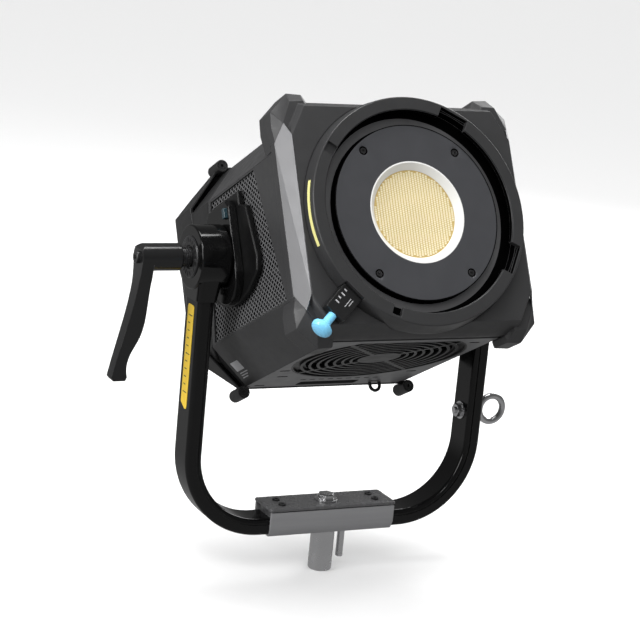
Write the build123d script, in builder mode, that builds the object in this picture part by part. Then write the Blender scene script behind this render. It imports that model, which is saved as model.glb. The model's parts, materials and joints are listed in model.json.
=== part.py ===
from build123d import *

import os
from math import cos, radians, sin

# An open-face LED spotlight head that hangs in a bent-tube yoke on a stand pin.
# Millimetres, +Z up, the lamp shines towards -Y. The origin is on the stand pin's axis,
# at the underside of the yoke's bracket. Parts of the head are drawn level, about the
# tilt axis, and are turned nose-up when they are written.

# ---------------------------------------------------------------- driving dimensions
HEAD_TILT = 27.8          # nose-up angle of the head as built, degrees
TILT_AXIS_Z = 334.0       # height of the tilt axis
LENS_Z = 3.0              # optical axis above the tilt axis, in the head

TUBE_WIDTH = 20.0         # yoke tube, across the leg
TUBE_DEPTH = 40.0         # yoke tube, front to back
TUBE_WALL = 3.0
TUBE_CORNER_R = 5.0
LEG_X = 184.5             # middle of a leg
BEND_R = 92.0             # centre line of the two lower bends
TUBE_Z = 12.0             # middle of the base run
LEG_TOP = 300.0

BRACKET_L = 164.0
BRACKET_D = 47.0
BRACKET_H = 30.0
STAND_PIN_R = 14.3        # 1 1/8 inch pin
STAND_PIN_L = 52.0

HUB_R = 36.5
HUB_INNER_X = 165.0
HUB_OUTER_X = 201.0
SHAFT_R = 8.0
BUSH_R = 11.0

FACE_Y = -161.0           # flat front of the bezel
FACE_HALF = ((118.0, 122.0), (136.0, 89.4))      # corner points of the front octagon
RIM_HALF = ((122.0, 133.0), (148.0, 86.0))       # the same corners at the widest section
RIM_Y = -139.0
BEZEL_BACK_Y = -128.0
BEZEL_WALL = 5.0

RING_R = 130.0
RING_BASE_R = 133.0
RING_BORE_R = 115.0
RING_FRONT_Y = -177.5
RING_FLOOR_Y = -159.5
NOTCH_R = 126.0
NOTCHES = ((62.0, 16.0), (-27.0, 16.0), (-112.0, 5.0))    # middle and width, degrees

PLATE_R = 100.0
PLATE_FRONT_Y = -169.4
REFLECTOR_R = 56.5
PHOSPHOR_R = 50.0
PHOSPHOR_Y = -162.5

BODY_HALF = ((100.0, 132.0), (146.0, 82.0))      # upper corner points of the body section
BODY_LOW = ((146.0, -84.0), (106.0, -131.0))     # lower corner points
BODY_BACK_Y = 107.5
SHEET = 2.5
SEAM_TOP_Y = 57.0         # where the side seam meets the upper corner of the body's section
SEAM_LOW_Y = 92.0         # where it meets the lower corner

FAN_Y = -39.0             # fan axis, ahead of the tilt axis
GUARD_R = 100.0           # round opening under the fan
GUARD_FRONT_Y = -118.0    # where the opening is cut off straight
REAR_FRONT_Y = 109.0
REAR_BACK_Y = 172.0

GAP = 0.3                 # clearance between faces that move past each other
RUN = 0.05                # running clearance of a shaft in its bush


# ---------------------------------------------------------------- helpers
def facing_front(y):
    """Sketch plane across the lamp at y: local x is +X, local y is +Z, normal is -Y."""
    return Plane.XZ.offset(-y)


def facing_side(x):
    """Sketch plane along the lamp at x: local x is +Y, local y is +Z, normal is +X."""
    return Plane.YZ.offset(x)


def octagon(half):
    """Closed outline from two corner points of its upper right quarter."""
    (x1, z1), (x2, z2) = half
    right = [(x1, z1), (x2, z2), (x2, -z2), (x1, -z1)]
    left = [(-x, z) for x, z in reversed(right)]
    return [(x, z + LENS_Z) for x, z in right + left]


def body_outline(inset=0.0):
    """Outline of the body's section, drawn in by the given distance."""
    corner = inset * 0.42
    right = [(BODY_HALF[0][0] - corner, BODY_HALF[0][1] - inset),
             (BODY_HALF[1][0] - inset, BODY_HALF[1][1] - corner),
             (BODY_LOW[0][0] - inset, BODY_LOW[0][1] + corner),
             (BODY_LOW[1][0] - corner, BODY_LOW[1][1] + inset)]
    return right + [(-x, z) for x, z in reversed(right)]


def polar(radius, degrees):
    return radius * cos(radians(degrees)), radius * sin(radians(degrees))


def save(piece, label, in_head=False):
    """Label a finished piece and write it; a head piece is turned nose-up first."""
    if in_head:
        piece = piece.rotate(Axis.X, -HEAD_TILT).translate((0, 0, TILT_AXIS_Z))
    piece.label = label
    export_step(piece, f"parts/{label}.step")


def mirrored(piece):
    """The same piece on the other side of the lamp."""
    return piece.mirror(Plane.YZ)


os.makedirs("parts", exist_ok=True)


# ================================================================ yoke
# ---- yoke tube: one bent U of rounded rectangular tube with a groove along each broad face
SCREW_SPOTS = [(sx * 62, sy * 9) for sx in (-1, 1) for sy in (-1, 1)]
BOLT_HOLE_R = 6.3         # clearance for the stand bolt
SCREW_HOLE_R = 2.6        # clearance for the bracket screws
EYE_Z = 140.0
EYE_HOLE_R = 4.2

with BuildPart() as yoke_tube:
    with BuildLine(Plane.XZ) as tube_path:
        side = BEND_R + TUBE_Z
        Line((-LEG_X, LEG_TOP), (-LEG_X, side))
        Line((-LEG_X + BEND_R, TUBE_Z), (LEG_X - BEND_R, TUBE_Z))
        Line((LEG_X, side), (LEG_X, LEG_TOP))
        RadiusArc((-LEG_X, side), (-LEG_X + BEND_R, TUBE_Z), -BEND_R)
        RadiusArc((LEG_X - BEND_R, TUBE_Z), (LEG_X, side), -BEND_R)
    leg_end = Plane(origin=(-LEG_X, 0, LEG_TOP), x_dir=(1, 0, 0), z_dir=(0, 0, -1))
    with BuildSketch(leg_end):
        RectangleRounded(TUBE_WIDTH, TUBE_DEPTH, TUBE_CORNER_R)
        with Locations((4, TUBE_DEPTH / 2), (4, -TUBE_DEPTH / 2)):
            Rectangle(2.4, 2.4, mode=Mode.SUBTRACT)
        RectangleRounded(TUBE_WIDTH - 2 * TUBE_WALL, TUBE_DEPTH - 2 * TUBE_WALL, 2.5, mode=Mode.SUBTRACT)
    sweep()
    with Locations(Location((0, 0, TUBE_Z))):
        Cylinder(BOLT_HOLE_R, TUBE_WIDTH + 10, mode=Mode.SUBTRACT)
    with Locations(*[Location((x, y, TUBE_Z)) for x, y in SCREW_SPOTS]):
        Cylinder(SCREW_HOLE_R, TUBE_WIDTH + 10, mode=Mode.SUBTRACT)
    with Locations(Location((LEG_X, 0, EYE_Z), (0, 90, 0))):
        Cylinder(EYE_HOLE_R, TUBE_WIDTH + 10, mode=Mode.SUBTRACT)
save(yoke_tube.part, "yoke_tube")

# ---- bracket channel: the folded cradle under the base run, chamfered along its lower edges
INNER_D = TUBE_DEPTH + 0.6
INDEX_X = 25.0            # index pin, beside the stand pin
INDEX_R = 4.45
SCREW_R = 2.0
with BuildPart() as bracket_channel:
    with BuildSketch(facing_side(-BRACKET_L / 2)):
        half, low = BRACKET_D / 2, BRACKET_D / 2 - 5
        fold_z = 10
        Polygon((-low, 0), (low, 0), (half, fold_z), (half, BRACKET_H), (-half, BRACKET_H), (-half, fold_z),
                align=None)
        with Locations((0, TUBE_Z - TUBE_WIDTH / 2 - 0.2)):
            RectangleRounded(INNER_D, 40, TUBE_CORNER_R, align=(Align.CENTER, Align.MIN),
                             mode=Mode.SUBTRACT)
    extrude(amount=BRACKET_L)
    with Locations(Location((0, 0, 0))):
        Cylinder(BOLT_HOLE_R, 20, mode=Mode.SUBTRACT)
    with Locations(*[Location((x, y, 0)) for x, y in SCREW_SPOTS]):
        Cylinder(SCREW_R + 0.1, 20, mode=Mode.SUBTRACT)
    with Locations(Location((INDEX_X, 0, 0))):
        Cylinder(INDEX_R + RUN, 20, mode=Mode.SUBTRACT)
save(bracket_channel.part, "bracket_channel")

# ---- bracket top plate: clamps the tube down into the channel
PLATE_Z = BRACKET_H + 1.5
PLATE_T = 3.5
with BuildPart() as bracket_top_plate:
    with BuildSketch(Plane.XY.offset(PLATE_Z)):
        RectangleRounded(BRACKET_L + 3, BRACKET_D + 1, 3)
    extrude(amount=PLATE_T)
    chamfer(bracket_top_plate.faces().sort_by(Axis.Z)[-1].edges(), 0.9)
    with BuildSketch(Plane.XY.offset(TUBE_Z + TUBE_WIDTH / 2 + 0.1)):
        RectangleRounded(BRACKET_L - 4, TUBE_DEPTH - 10, 3)
    extrude(until=Until.NEXT)
    with Locations(Location((0, 0, PLATE_Z))):
        Cylinder(BOLT_HOLE_R, 40, mode=Mode.SUBTRACT)
    with Locations(*[Location((x, y, PLATE_Z)) for x, y in SCREW_SPOTS]):
        Cylinder(SCREW_HOLE_R, 40, mode=Mode.SUBTRACT)
    with Locations(*[Location((x, y, PLATE_Z + PLATE_T)) for x, y in SCREW_SPOTS]):
        Cylinder(4.6, 3.0, mode=Mode.SUBTRACT)
save(bracket_top_plate.part, "bracket_top_plate")

# ---- bracket screws: four socket cap screws through plate, tube and channel
with BuildPart() as bracket_screws:
    for x, y in SCREW_SPOTS:
        with Locations(Location((x, y, PLATE_Z + PLATE_T - 1.45))):
            Cylinder(4.4, 3.4, align=(Align.CENTER, Align.CENTER, Align.MIN))
            Cylinder(SCREW_R, PLATE_Z + PLATE_T - 1.6, align=(Align.CENTER, Align.CENTER, Align.MAX))
        with BuildSketch(Plane(origin=(x, y, PLATE_Z + PLATE_T + 2))):
            RegularPolygon(2.2, 6)
        extrude(amount=-2.4, mode=Mode.SUBTRACT)
save(bracket_screws.part, "bracket_screws")

# ---- stand pin: the pin that drops into a stand's socket
PIN_THREAD_R = 6.0
with BuildPart() as stand_pin:
    with Locations(Location((0, 0, -STAND_PIN_L / 2))):
        Cylinder(STAND_PIN_R, STAND_PIN_L)
    chamfer(stand_pin.faces().sort_by(Axis.Z)[0].edges(), 1.5)
    with Locations(Location((0, 0, -12))):
        Cylinder(PIN_THREAD_R + 0.05, 24.1, mode=Mode.SUBTRACT)
save(stand_pin.part, "stand_pin")

# ---- stand bolt: holds the pin to the bracket, with a washer face under its hex head
with BuildPart() as stand_bolt:
    top = PLATE_Z + PLATE_T
    with Locations(Location((0, 0, top))):
        Cylinder(14.0, 1.8, align=(Align.CENTER, Align.CENTER, Align.MIN))
        Cylinder(PIN_THREAD_R, top + 22, align=(Align.CENTER, Align.CENTER, Align.MAX))
    with BuildSketch(Plane.XY.offset(top + 1.8)):
        RegularPolygon(10.8, 6)
    extrude(amount=6.4)
    chamfer(stand_bolt.faces().sort_by(Axis.Z)[-1].edges(), 1.2)
save(stand_bolt.part, "stand_bolt")

# ---- index pin: the thinner pin beside the stand pin that stops the yoke turning
with BuildPart() as index_pin:
    with Locations(Location((INDEX_X, 0, 1.6))):
        Cylinder(INDEX_R, 40, align=(Align.CENTER, Align.CENTER, Align.MAX))
    chamfer(index_pin.faces().sort_by(Axis.Z)[0].edges(), 0.8)
save(index_pin.part, "index_pin")

# ---- hubs: a barrel on the tilt axis with a teardrop neck that sleeves the leg's top
NECK_LOW = 286.0
with BuildPart() as hub_left:
    with BuildSketch(facing_side(-HUB_OUTER_X)):
        with Locations((0, TILT_AXIS_Z)):
            Circle(HUB_R)
    extrude(amount=HUB_OUTER_X - HUB_INNER_X)
    chamfer(hub_left.faces().sort_by(Axis.X)[0].edges(), 1.2)
    chamfer(hub_left.faces().sort_by(Axis.X)[-1].edges(), 1.2)
    with BuildSketch(Plane.XY.offset(NECK_LOW)):
        with Locations((-LEG_X, 0)):
            RectangleRounded(TUBE_WIDTH + 5, TUBE_DEPTH + 5, 7)
    with BuildSketch(Plane.XY.offset(TILT_AXIS_Z - 16)):
        with Locations((-LEG_X + 0.5, 0)):
            RectangleRounded(TUBE_WIDTH + 10, 2 * HUB_R - 12, 7)
    loft()
    with BuildSketch(Plane.XY.offset(NECK_LOW)):
        with Locations((-LEG_X, 0)):
            RectangleRounded(TUBE_WIDTH + 0.3, TUBE_DEPTH + 0.3, TUBE_CORNER_R + 0.15)
    extrude(amount=LEG_TOP - NECK_LOW + 0.2, mode=Mode.SUBTRACT)
    with Locations(Location((-LEG_X, 0, TILT_AXIS_Z), (0, 90, 0))):
        Cylinder(BUSH_R + RUN, 60, mode=Mode.SUBTRACT)
save(hub_left.part, "hub_left")
save(mirrored(hub_left.part), "hub_right")

# ---- hub bushes: flanged bronze bushes that the tilt shafts turn in
with BuildPart() as hub_bush_left:
    with BuildSketch(facing_side(-HUB_OUTER_X + 0.5)):
        with Locations((0, TILT_AXIS_Z)):
            Circle(BUSH_R)
            Circle(SHAFT_R + RUN, mode=Mode.SUBTRACT)
    extrude(amount=HUB_OUTER_X - HUB_INNER_X - 0.7)
save(hub_bush_left.part, "hub_bush_left")
save(mirrored(hub_bush_left.part), "hub_bush_right")

# ---- tilt scale: a chamfered disc with raised angle ticks on the left hub's outer face
SCALE_R = 24.0
SCALE_T = 1.8
TICK_STEP = 18            # degrees
with BuildPart() as tilt_scale:
    with BuildSketch(facing_side(-HUB_OUTER_X)):
        with Locations((0, TILT_AXIS_Z)):
            Circle(SCALE_R)
            Circle(13, mode=Mode.SUBTRACT)
    extrude(amount=-SCALE_T)
    chamfer(tilt_scale.faces().sort_by(Axis.X)[0].edges(), 1.0)
    with BuildSketch(facing_side(-HUB_OUTER_X - SCALE_T)):
        for angle in range(0, 360, TICK_STEP):
            y, z = polar(19, angle)
            with Locations(Location((y, TILT_AXIS_Z + z, 0), angle)):
                Rectangle(5.0, 1.8)
    extrude(amount=-0.5)
save(tilt_scale.part, "tilt_scale")

# ---- leg label: a long self-adhesive strip on the left leg's outer face, cut on the slant
with BuildPart() as leg_label:
    with BuildSketch(facing_side(-LEG_X - TUBE_WIDTH / 2)) as strip:
        Polygon((-8, 155), (9, 163), (9, 279), (-8, 279), align=None)
        fillet(strip.vertices(), 4.0)
    extrude(amount=-0.4)
save(leg_label.part, "leg_label")

# ---- eye bolt: a forged eye for the safety cable, through the right leg
EYE_R = 16.3
EYE_WIRE_R = 4.0
LEG_OUT_X = LEG_X + TUBE_WIDTH / 2
LEG_IN_X = LEG_X - TUBE_WIDTH / 2
EYE_X = LEG_OUT_X + 7 + EYE_R
with BuildPart() as eye_bolt:
    with BuildSketch(Plane.XY.offset(EYE_Z)):
        with Locations((EYE_X + EYE_R, 0)):
            Circle(EYE_WIRE_R)
    revolve(axis=Axis((EYE_X, 0, EYE_Z), (0, 1, 0)))
    with BuildSketch(facing_side(LEG_IN_X - 10)):
        with Locations((0, EYE_Z)):
            Circle(EYE_WIRE_R)
    extrude(amount=TUBE_WIDTH + 18)
    with BuildSketch(facing_side(LEG_OUT_X)):
        with Locations((0, EYE_Z)):
            Circle(8.5)
    extrude(amount=3.0)
save(eye_bolt.part, "eye_bolt")

with BuildPart() as eye_bolt_nut:
    with BuildSketch(facing_side(LEG_IN_X)):
        with Locations((0, EYE_Z)):
            Circle(11.0)
    extrude(amount=-1.6)
    with BuildSketch(facing_side(LEG_IN_X - 1.6)):
        with Locations((0, EYE_Z)):
            RegularPolygon(8.6, 6)
    extrude(amount=-6.4)
    with Locations(Location((LEG_IN_X, 0, EYE_Z), (0, 90, 0))):
        Cylinder(EYE_WIRE_R + RUN, 40, mode=Mode.SUBTRACT)
save(eye_bolt_nut.part, "eye_bolt_nut")


# ================================================================ cradle
# The cradle is what tilts in the hubs: on each side a shaft and a shoe. The head's
# dovetails drop into the shoes from above, so its weight keeps it seated.
DOVETAIL_NECK = 13.0      # half width where it leaves the head
DOVETAIL_FLARE = 0.94     # widening per millimetre outward
DOVETAIL_BASE_X = 152.3
DOVETAIL_FACE_X = 157.6
DOVETAIL_Z = (-34.0, 62.0)
SHOE_FACE_X = 162.4
SHOE_HALF = 32.0
LATCH_SPOT = (-25.0, 43.0)
LATCH_WIDTH = 6.4
LATCH_HEIGHT = 12.0


def dovetail_section(inner_x, outer_x, spare):
    """Plan outline of the left dovetail between two distances from the middle."""
    near = DOVETAIL_NECK + spare + (inner_x - DOVETAIL_BASE_X) * DOVETAIL_FLARE
    far = DOVETAIL_NECK + spare + (outer_x - DOVETAIL_BASE_X) * DOVETAIL_FLARE
    return [(-inner_x, -near), (-inner_x, near), (-outer_x, far), (-outer_x, -far)]


with BuildPart() as cradle_shoe_left:
    with BuildSketch(facing_side(-SHOE_FACE_X)):
        Polygon((SHOE_HALF, -24), (SHOE_HALF, 50), (SHOE_HALF - 7, 58), (7 - SHOE_HALF, 58),
                (-SHOE_HALF, 50), (-SHOE_HALF, -24), align=None)
        with Locations((0, -24)):
            Circle(SHOE_HALF)
    extrude(amount=SHOE_FACE_X - DOVETAIL_BASE_X - GAP)
    chamfer(cradle_shoe_left.faces().sort_by(Axis.X)[0].edges(), 1.2)
    with BuildSketch(Plane.XY.offset(DOVETAIL_Z[0] - GAP)):
        Polygon(*dovetail_section(DOVETAIL_BASE_X - 1, DOVETAIL_FACE_X + GAP, GAP), align=None)
    extrude(amount=120, mode=Mode.SUBTRACT)
    with Locations(Location((-SHOE_FACE_X, 0, 0), (0, 90, 0))):
        Cylinder(SHAFT_R, 30, mode=Mode.SUBTRACT)
    with Locations(Location((-DOVETAIL_FACE_X - GAP, 0, 0), (0, 90, 0))):
        Cylinder(13.0, 4.2, mode=Mode.SUBTRACT)
    with BuildSketch(facing_side(-SHOE_FACE_X)):
        with Locations(LATCH_SPOT):
            RectangleRounded(LATCH_WIDTH + 2 * GAP, LATCH_HEIGHT + 2 * GAP, 1.5)
    extrude(amount=3.4, mode=Mode.SUBTRACT)
save(cradle_shoe_left.part, "cradle_shoe_left", in_head=True)
save(mirrored(cradle_shoe_left.part), "cradle_shoe_right", in_head=True)

# ---- tilt shafts: flanged inside the shoe, threaded outside the hub on the lever's side
def tilt_shaft(outer_x):
    with BuildPart() as shaft:
        with BuildSketch(facing_side(-DOVETAIL_FACE_X - 0.4)):
            Circle(SHAFT_R)
        extrude(amount=-(outer_x - DOVETAIL_FACE_X))
        with BuildSketch(facing_side(-DOVETAIL_FACE_X - 0.4)):
            Circle(13.0)
        extrude(amount=-2.0)
        with BuildSketch(facing_side(-DOVETAIL_FACE_X - 0.4)):
            RegularPolygon(5.0, 6)
        extrude(amount=-1.2, mode=Mode.SUBTRACT)
    return shaft.part


save(tilt_shaft(249.0), "tilt_shaft_left", in_head=True)
save(mirrored(tilt_shaft(206.0)), "tilt_shaft_right", in_head=True)

# ---- friction discs: fibre discs squeezed between the hub and the shoe
with BuildPart() as friction_disc_left:
    with BuildSketch(facing_side(-SHOE_FACE_X)):
        Circle(30)
        Circle(SHAFT_R + RUN, mode=Mode.SUBTRACT)
    extrude(amount=-(HUB_INNER_X - SHOE_FACE_X - GAP))
save(friction_disc_left.part, "friction_disc_left", in_head=True)
save(mirrored(friction_disc_left.part), "friction_disc_right", in_head=True)

# ---- latch buttons: press in to let the dovetail slide up out of its shoe
with BuildPart() as latch_button_left:
    with BuildSketch(facing_side(-SHOE_FACE_X + 0.3)):
        with Locations(LATCH_SPOT):
            RectangleRounded(LATCH_WIDTH, LATCH_HEIGHT, 1.2)
    extrude(amount=-4.4)
    fillet(latch_button_left.faces().sort_by(Axis.X)[0].edges(), 1.0)
save(latch_button_left.part, "latch_button_left", in_head=True)
save(mirrored(latch_button_left.part), "latch_button_right", in_head=True)


# ================================================================ clamp lever
LEVER_IN_X = 214.0
LEVER_OUT_X = 250.0
BOSS_R = 15.5
FROM_LEFT = Plane(origin=(-300, 0, TILT_AXIS_Z), x_dir=(0, 1, 0), z_dir=(1, 0, 0))
ACROSS_AXIS = Plane(origin=(0, 0, TILT_AXIS_Z), x_dir=(1, 0, 0), z_dir=(0, -1, 0))

with BuildPart() as clamp_lever:
    # The arm cranks outward as it goes down and flares again towards its end.
    with BuildSketch(ACROSS_AXIS):
        with BuildLine():
            Polyline((-249, 16), (-249, -24))
            Spline((-249, -24), (-251.5, -55), (-258, -91), (-266.5, -108), (-269, -136))
            Polyline((-269, -136), (-271, -140.5), (-285, -140.5), (-288, -137))
            Spline((-288, -137), (-280, -103), (-267.5, -49), (-263, 0))
            Polyline((-263, 0), (-263, 10), (-257, 16), (-249, 16))
        make_face()
    extrude(amount=20, both=True)
    with BuildSketch(FROM_LEFT):
        Polygon((-7.5, -150), (7.5, -150), (10.5, -30), (BOSS_R, 0), (-BOSS_R, 0), (-10.5, -30),
                align=None)
        Circle(BOSS_R)
    extrude(amount=60, mode=Mode.INTERSECT)
    with BuildSketch(facing_side(-LEVER_OUT_X)):
        with Locations((0, TILT_AXIS_Z)):
            Circle(BOSS_R)
    extrude(amount=LEVER_OUT_X - LEVER_IN_X)
    chamfer(clamp_lever.faces().sort_by(Axis.X)[-1].edges(), 1.5)
    with Locations(Location((-LEVER_IN_X, 0, TILT_AXIS_Z), (0, 90, 0))):
        Cylinder(SHAFT_R + RUN, 2 * (LEVER_OUT_X - LEVER_IN_X), mode=Mode.SUBTRACT)
    with Locations(Location((-263, 0, TILT_AXIS_Z), (0, 90, 0))):
        Cylinder(6.0, 12.0, mode=Mode.SUBTRACT)
        Cylinder(3.0, 40, mode=Mode.SUBTRACT)
save(clamp_lever.part, "clamp_lever")

# ---- lever screw: the socket screw in the lever's top, its head standing proud
SCREW_HEAD_X = 267.0
with BuildPart() as lever_screw:
    with Locations(Location((-257, 0, TILT_AXIS_Z), (0, -90, 0))):
        Cylinder(5.9, 7.0, align=(Align.CENTER, Align.CENTER, Align.MIN))
        Cylinder(3.0, 6.6, align=(Align.CENTER, Align.CENTER, Align.MAX))
    with Locations(Location((-263.3, 0, TILT_AXIS_Z), (0, -90, 0))):
        Cylinder(7.0, SCREW_HEAD_X - 263.3, align=(Align.CENTER, Align.CENTER, Align.MIN))
    chamfer(lever_screw.faces().sort_by(Axis.X)[0].edges(), 0.7)
    with BuildSketch(facing_side(-SCREW_HEAD_X)):
        with Locations((0, TILT_AXIS_Z)):
            RegularPolygon(3.2, 6)
    extrude(amount=4.5, mode=Mode.SUBTRACT)
save(lever_screw.part, "lever_screw")

# ---- lever collar: the threaded nut between hub and lever that squeezes the joint
with BuildPart() as lever_collar:
    with BuildSketch(facing_side(-LEVER_IN_X)):
        with Locations((0, TILT_AXIS_Z)):
            Circle(11.5)
    extrude(amount=LEVER_IN_X - HUB_OUTER_X - 0.6)
    for step in range(4):
        with BuildSketch(facing_side(-LEVER_IN_X + 1.6 + 2.6 * step)):
            with Locations((0, TILT_AXIS_Z)):
                Circle(12.5)
                Circle(10.6, mode=Mode.SUBTRACT)
        extrude(amount=1.1, mode=Mode.SUBTRACT)
    with Locations(Location((-LEVER_IN_X, 0, TILT_AXIS_Z), (0, 90, 0))):
        Cylinder(SHAFT_R + RUN, 60, mode=Mode.SUBTRACT)
save(lever_collar.part, "lever_collar")


# ================================================================ head, front
# ---- bezel trims: a bright six-sided plate on each side chamfer of the bezel
def on_side_chamfer():
    """Plane on the bezel's right chamfer: local x runs back along it, local y is +Z."""
    back = Vector(RIM_HALF[1][0] - FACE_HALF[1][0], RIM_Y - FACE_Y, 0).normalized()
    return Plane(origin=(FACE_HALF[1][0], FACE_Y, LENS_Z), x_dir=back,
                 z_dir=back.cross(Vector(0, 0, 1)))


with BuildPart() as bezel_trims:
    with BuildSketch(on_side_chamfer()):
        Polygon((0.6, -88), (0.6, 88), (10, 104), (24.4, 85), (24.4, -85), (10, -104), align=None)
    extrude(amount=0.9, both=True)
    mirror(about=Plane.YZ)
save(bezel_trims.part, "bezel_trims", in_head=True)

# ---- front bezel: chamfered eight-sided frame with a raised buffer on each corner
BUMPER_BACK = [(109, 142), (127, 143), (149, 121), (150, 102)]       # above the beam axis
BUMPER_FRONT = [(113, 131), (130, 130), (141, 105), (140.5, 100)]
BUMPER_FRONT_Y = -151.0
BUMPER_L = 29.0
BUMPER_ROOT_TOP = ((101.0, 132.4), (146.3, 83.0))                    # just clear of the body
BUMPER_ROOT_LOW = ((107.0, -131.4), (146.3, -85.0))
RING_SEAT_R = 128.3
RING_STEP_Y = -151.7


def corner_bumper(mirror_x, flip_z, root):
    """One corner buffer; its section grows from the front facet to full size."""
    def section(points, draw_in):
        first = (root[0][0] + draw_in, root[0][1] - flip_z * draw_in)
        last = (root[1][0] - draw_in, root[1][1])
        outer = [(x, LENS_Z + flip_z * z) for x, z in points]
        return [(mirror_x * x, z) for x, z in [first, *outer, last]]
    with BuildPart() as bumper:
        with BuildSketch(facing_front(BUMPER_FRONT_Y)):
            Polygon(*section(BUMPER_FRONT, 8), align=None)
        with BuildSketch(facing_front(RIM_Y)):
            Polygon(*section(BUMPER_BACK, 0), align=None)
        loft()
        with BuildSketch(facing_front(RIM_Y)):
            Polygon(*section(BUMPER_BACK, 0), align=None)
        extrude(amount=-BUMPER_L)
    return bumper.part


bumpers = [corner_bumper(side, 1, BUMPER_ROOT_TOP) for side in (-1, 1)]
bumpers += [corner_bumper(side, -1, BUMPER_ROOT_LOW) for side in (-1, 1)]
trims = bezel_trims.part

with BuildPart() as front_bezel:
    with BuildSketch(facing_front(FACE_Y)):
        Polygon(*octagon(FACE_HALF), align=None)
    with BuildSketch(facing_front(RIM_Y)):
        Polygon(*octagon(RIM_HALF), align=None)
    loft()
    with BuildSketch(facing_front(RIM_Y)):
        Polygon(*octagon(RIM_HALF), align=None)
    extrude(amount=RIM_Y - BEZEL_BACK_Y)
    add(bumpers)
    with BuildSketch(facing_front(BEZEL_BACK_Y + 4)):
        Polygon(*body_outline(BEZEL_WALL), align=None)
    extrude(amount=22, mode=Mode.SUBTRACT)
    with BuildSketch(facing_front(FACE_Y - 1)):
        with Locations((0, LENS_Z)):
            Circle(RING_BASE_R + GAP)
    extrude(amount=FACE_Y - 1 - RING_STEP_Y, mode=Mode.SUBTRACT)
    with BuildSketch(facing_front(FACE_Y - 1)):
        with Locations((0, LENS_Z)):
            Circle(RING_SEAT_R)
    extrude(amount=-30, mode=Mode.SUBTRACT)
    add(trims, mode=Mode.SUBTRACT)
save(front_bezel.part, "front_bezel", in_head=True)

# ---- mount ring: bayonet ring for a lens, with entry notches for its lugs in the lip
LOCK_ANGLE = -136.4
FLANGE_BACK_Y = -171.0
RING_INNER_R = 98.0
ALONG_BEAM = Plane(origin=(0, 0, LENS_Z), x_dir=(1, 0, 0), z_dir=(0, 0, 1))
BEAM_AXIS = Axis((0, 0, LENS_Z), (0, -1, 0))
BAYONET_R = 124.0         # depth of the groove behind the ring's lip
RECESS_ANGLE = 146.0      # shallow square recess in the ring's front face
RECESS_R = 121.6
RECESS_SIZE = (12.0, 13.0)
LOCK_DIR = Vector(cos(radians(LOCK_ANGLE)), 0, sin(radians(LOCK_ANGLE)))
LOCK_Y = -167.0
BLOCK_IN_R = 129.0        # the lock block's ends, as radii about the beam
BLOCK_OUT_R = 163.5
BLOCK_WIDTH = 26.0
LOCK_PLANE = Plane(origin=(0, LOCK_Y, LENS_Z), x_dir=LOCK_DIR, z_dir=(0, -1, 0))
LOCK_AXIS = Axis((0, LOCK_Y, LENS_Z), LOCK_DIR)


def turned(points):
    """Solid of revolution about the beam axis from (radius, y) points."""
    with BuildPart() as solid:
        with BuildSketch(ALONG_BEAM):
            Polygon(*points, align=None)
        revolve(axis=BEAM_AXIS)
    return solid.part


def across_beam(y, degrees=0.0):
    """Plane facing the front at y, centred on the beam and turned by an angle."""
    x, z = polar(1, degrees)
    return Plane(origin=(0, y, LENS_Z), x_dir=(x, 0, z), z_dir=(0, -1, 0))


ring_blank = turned([(RING_R - 1, RING_FRONT_Y), (RING_R, RING_FRONT_Y + 1), (RING_BASE_R, FACE_Y),
                     (RING_BASE_R, RING_STEP_Y - 0.3), (RING_SEAT_R - 0.3, RING_STEP_Y - 0.3),
                     (RING_SEAT_R - 0.3, -146), (RING_INNER_R, -146), (RING_INNER_R, RING_FLOOR_Y),
                     (RING_BORE_R, RING_FLOOR_Y), (RING_BORE_R, RING_FRONT_Y + 1),
                     (RING_BORE_R + 1, RING_FRONT_Y)])
ring_groove = turned([(RING_BORE_R - 1, FLANGE_BACK_Y), (BAYONET_R, FLANGE_BACK_Y),
                      (BAYONET_R, RING_FLOOR_Y), (RING_BORE_R - 1, RING_FLOOR_Y)])

with BuildPart() as mount_ring:
    add(ring_blank)
    add(ring_groove, mode=Mode.SUBTRACT)
    for angle, degrees_wide in NOTCHES:
        width = 2 * NOTCH_R * sin(radians(degrees_wide / 2))
        with BuildSketch(across_beam(FLANGE_BACK_Y + 0.1, angle)):
            with Locations((NOTCH_R - 8, 0)):
                Rectangle(16, width)
        extrude(amount=10, mode=Mode.SUBTRACT)
    with BuildSketch(across_beam(RING_FRONT_Y + 4, RECESS_ANGLE)):
        with Locations((RECESS_R, 0)):
            RectangleRounded(*RECESS_SIZE, 1)
    extrude(amount=10, mode=Mode.SUBTRACT)
    with BuildSketch(across_beam(FACE_Y, LOCK_ANGLE)):
        with Locations((BLOCK_IN_R - 1, 0)):
            Rectangle(20, BLOCK_WIDTH + 1, align=(Align.MIN, Align.CENTER))
    extrude(amount=30, mode=Mode.SUBTRACT)
    with Locations(Location(LOCK_PLANE)):
        with Locations(Location((RING_R - 8, 0, 0), (0, 90, 0))):
            Cylinder(3.1, 20, mode=Mode.SUBTRACT)
save(mount_ring.part, "mount_ring", in_head=True)

# ---- ring mark: the alignment stripe round the left of the ring's flank
def flank_r(y, lift):
    """Radius of the ring's flank at y, raised by a small amount."""
    return RING_R + (RING_BASE_R - RING_R) * (y - RING_FRONT_Y) / (FACE_Y - RING_FRONT_Y) + lift


def radial_plane(degrees):
    """Plane through the beam axis: local x is outward at that angle, local y is +Y."""
    x, z = polar(1, degrees)
    return Plane(origin=(0, 0, LENS_Z), x_dir=(x, 0, z), z_dir=(-z, 0, x))


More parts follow.
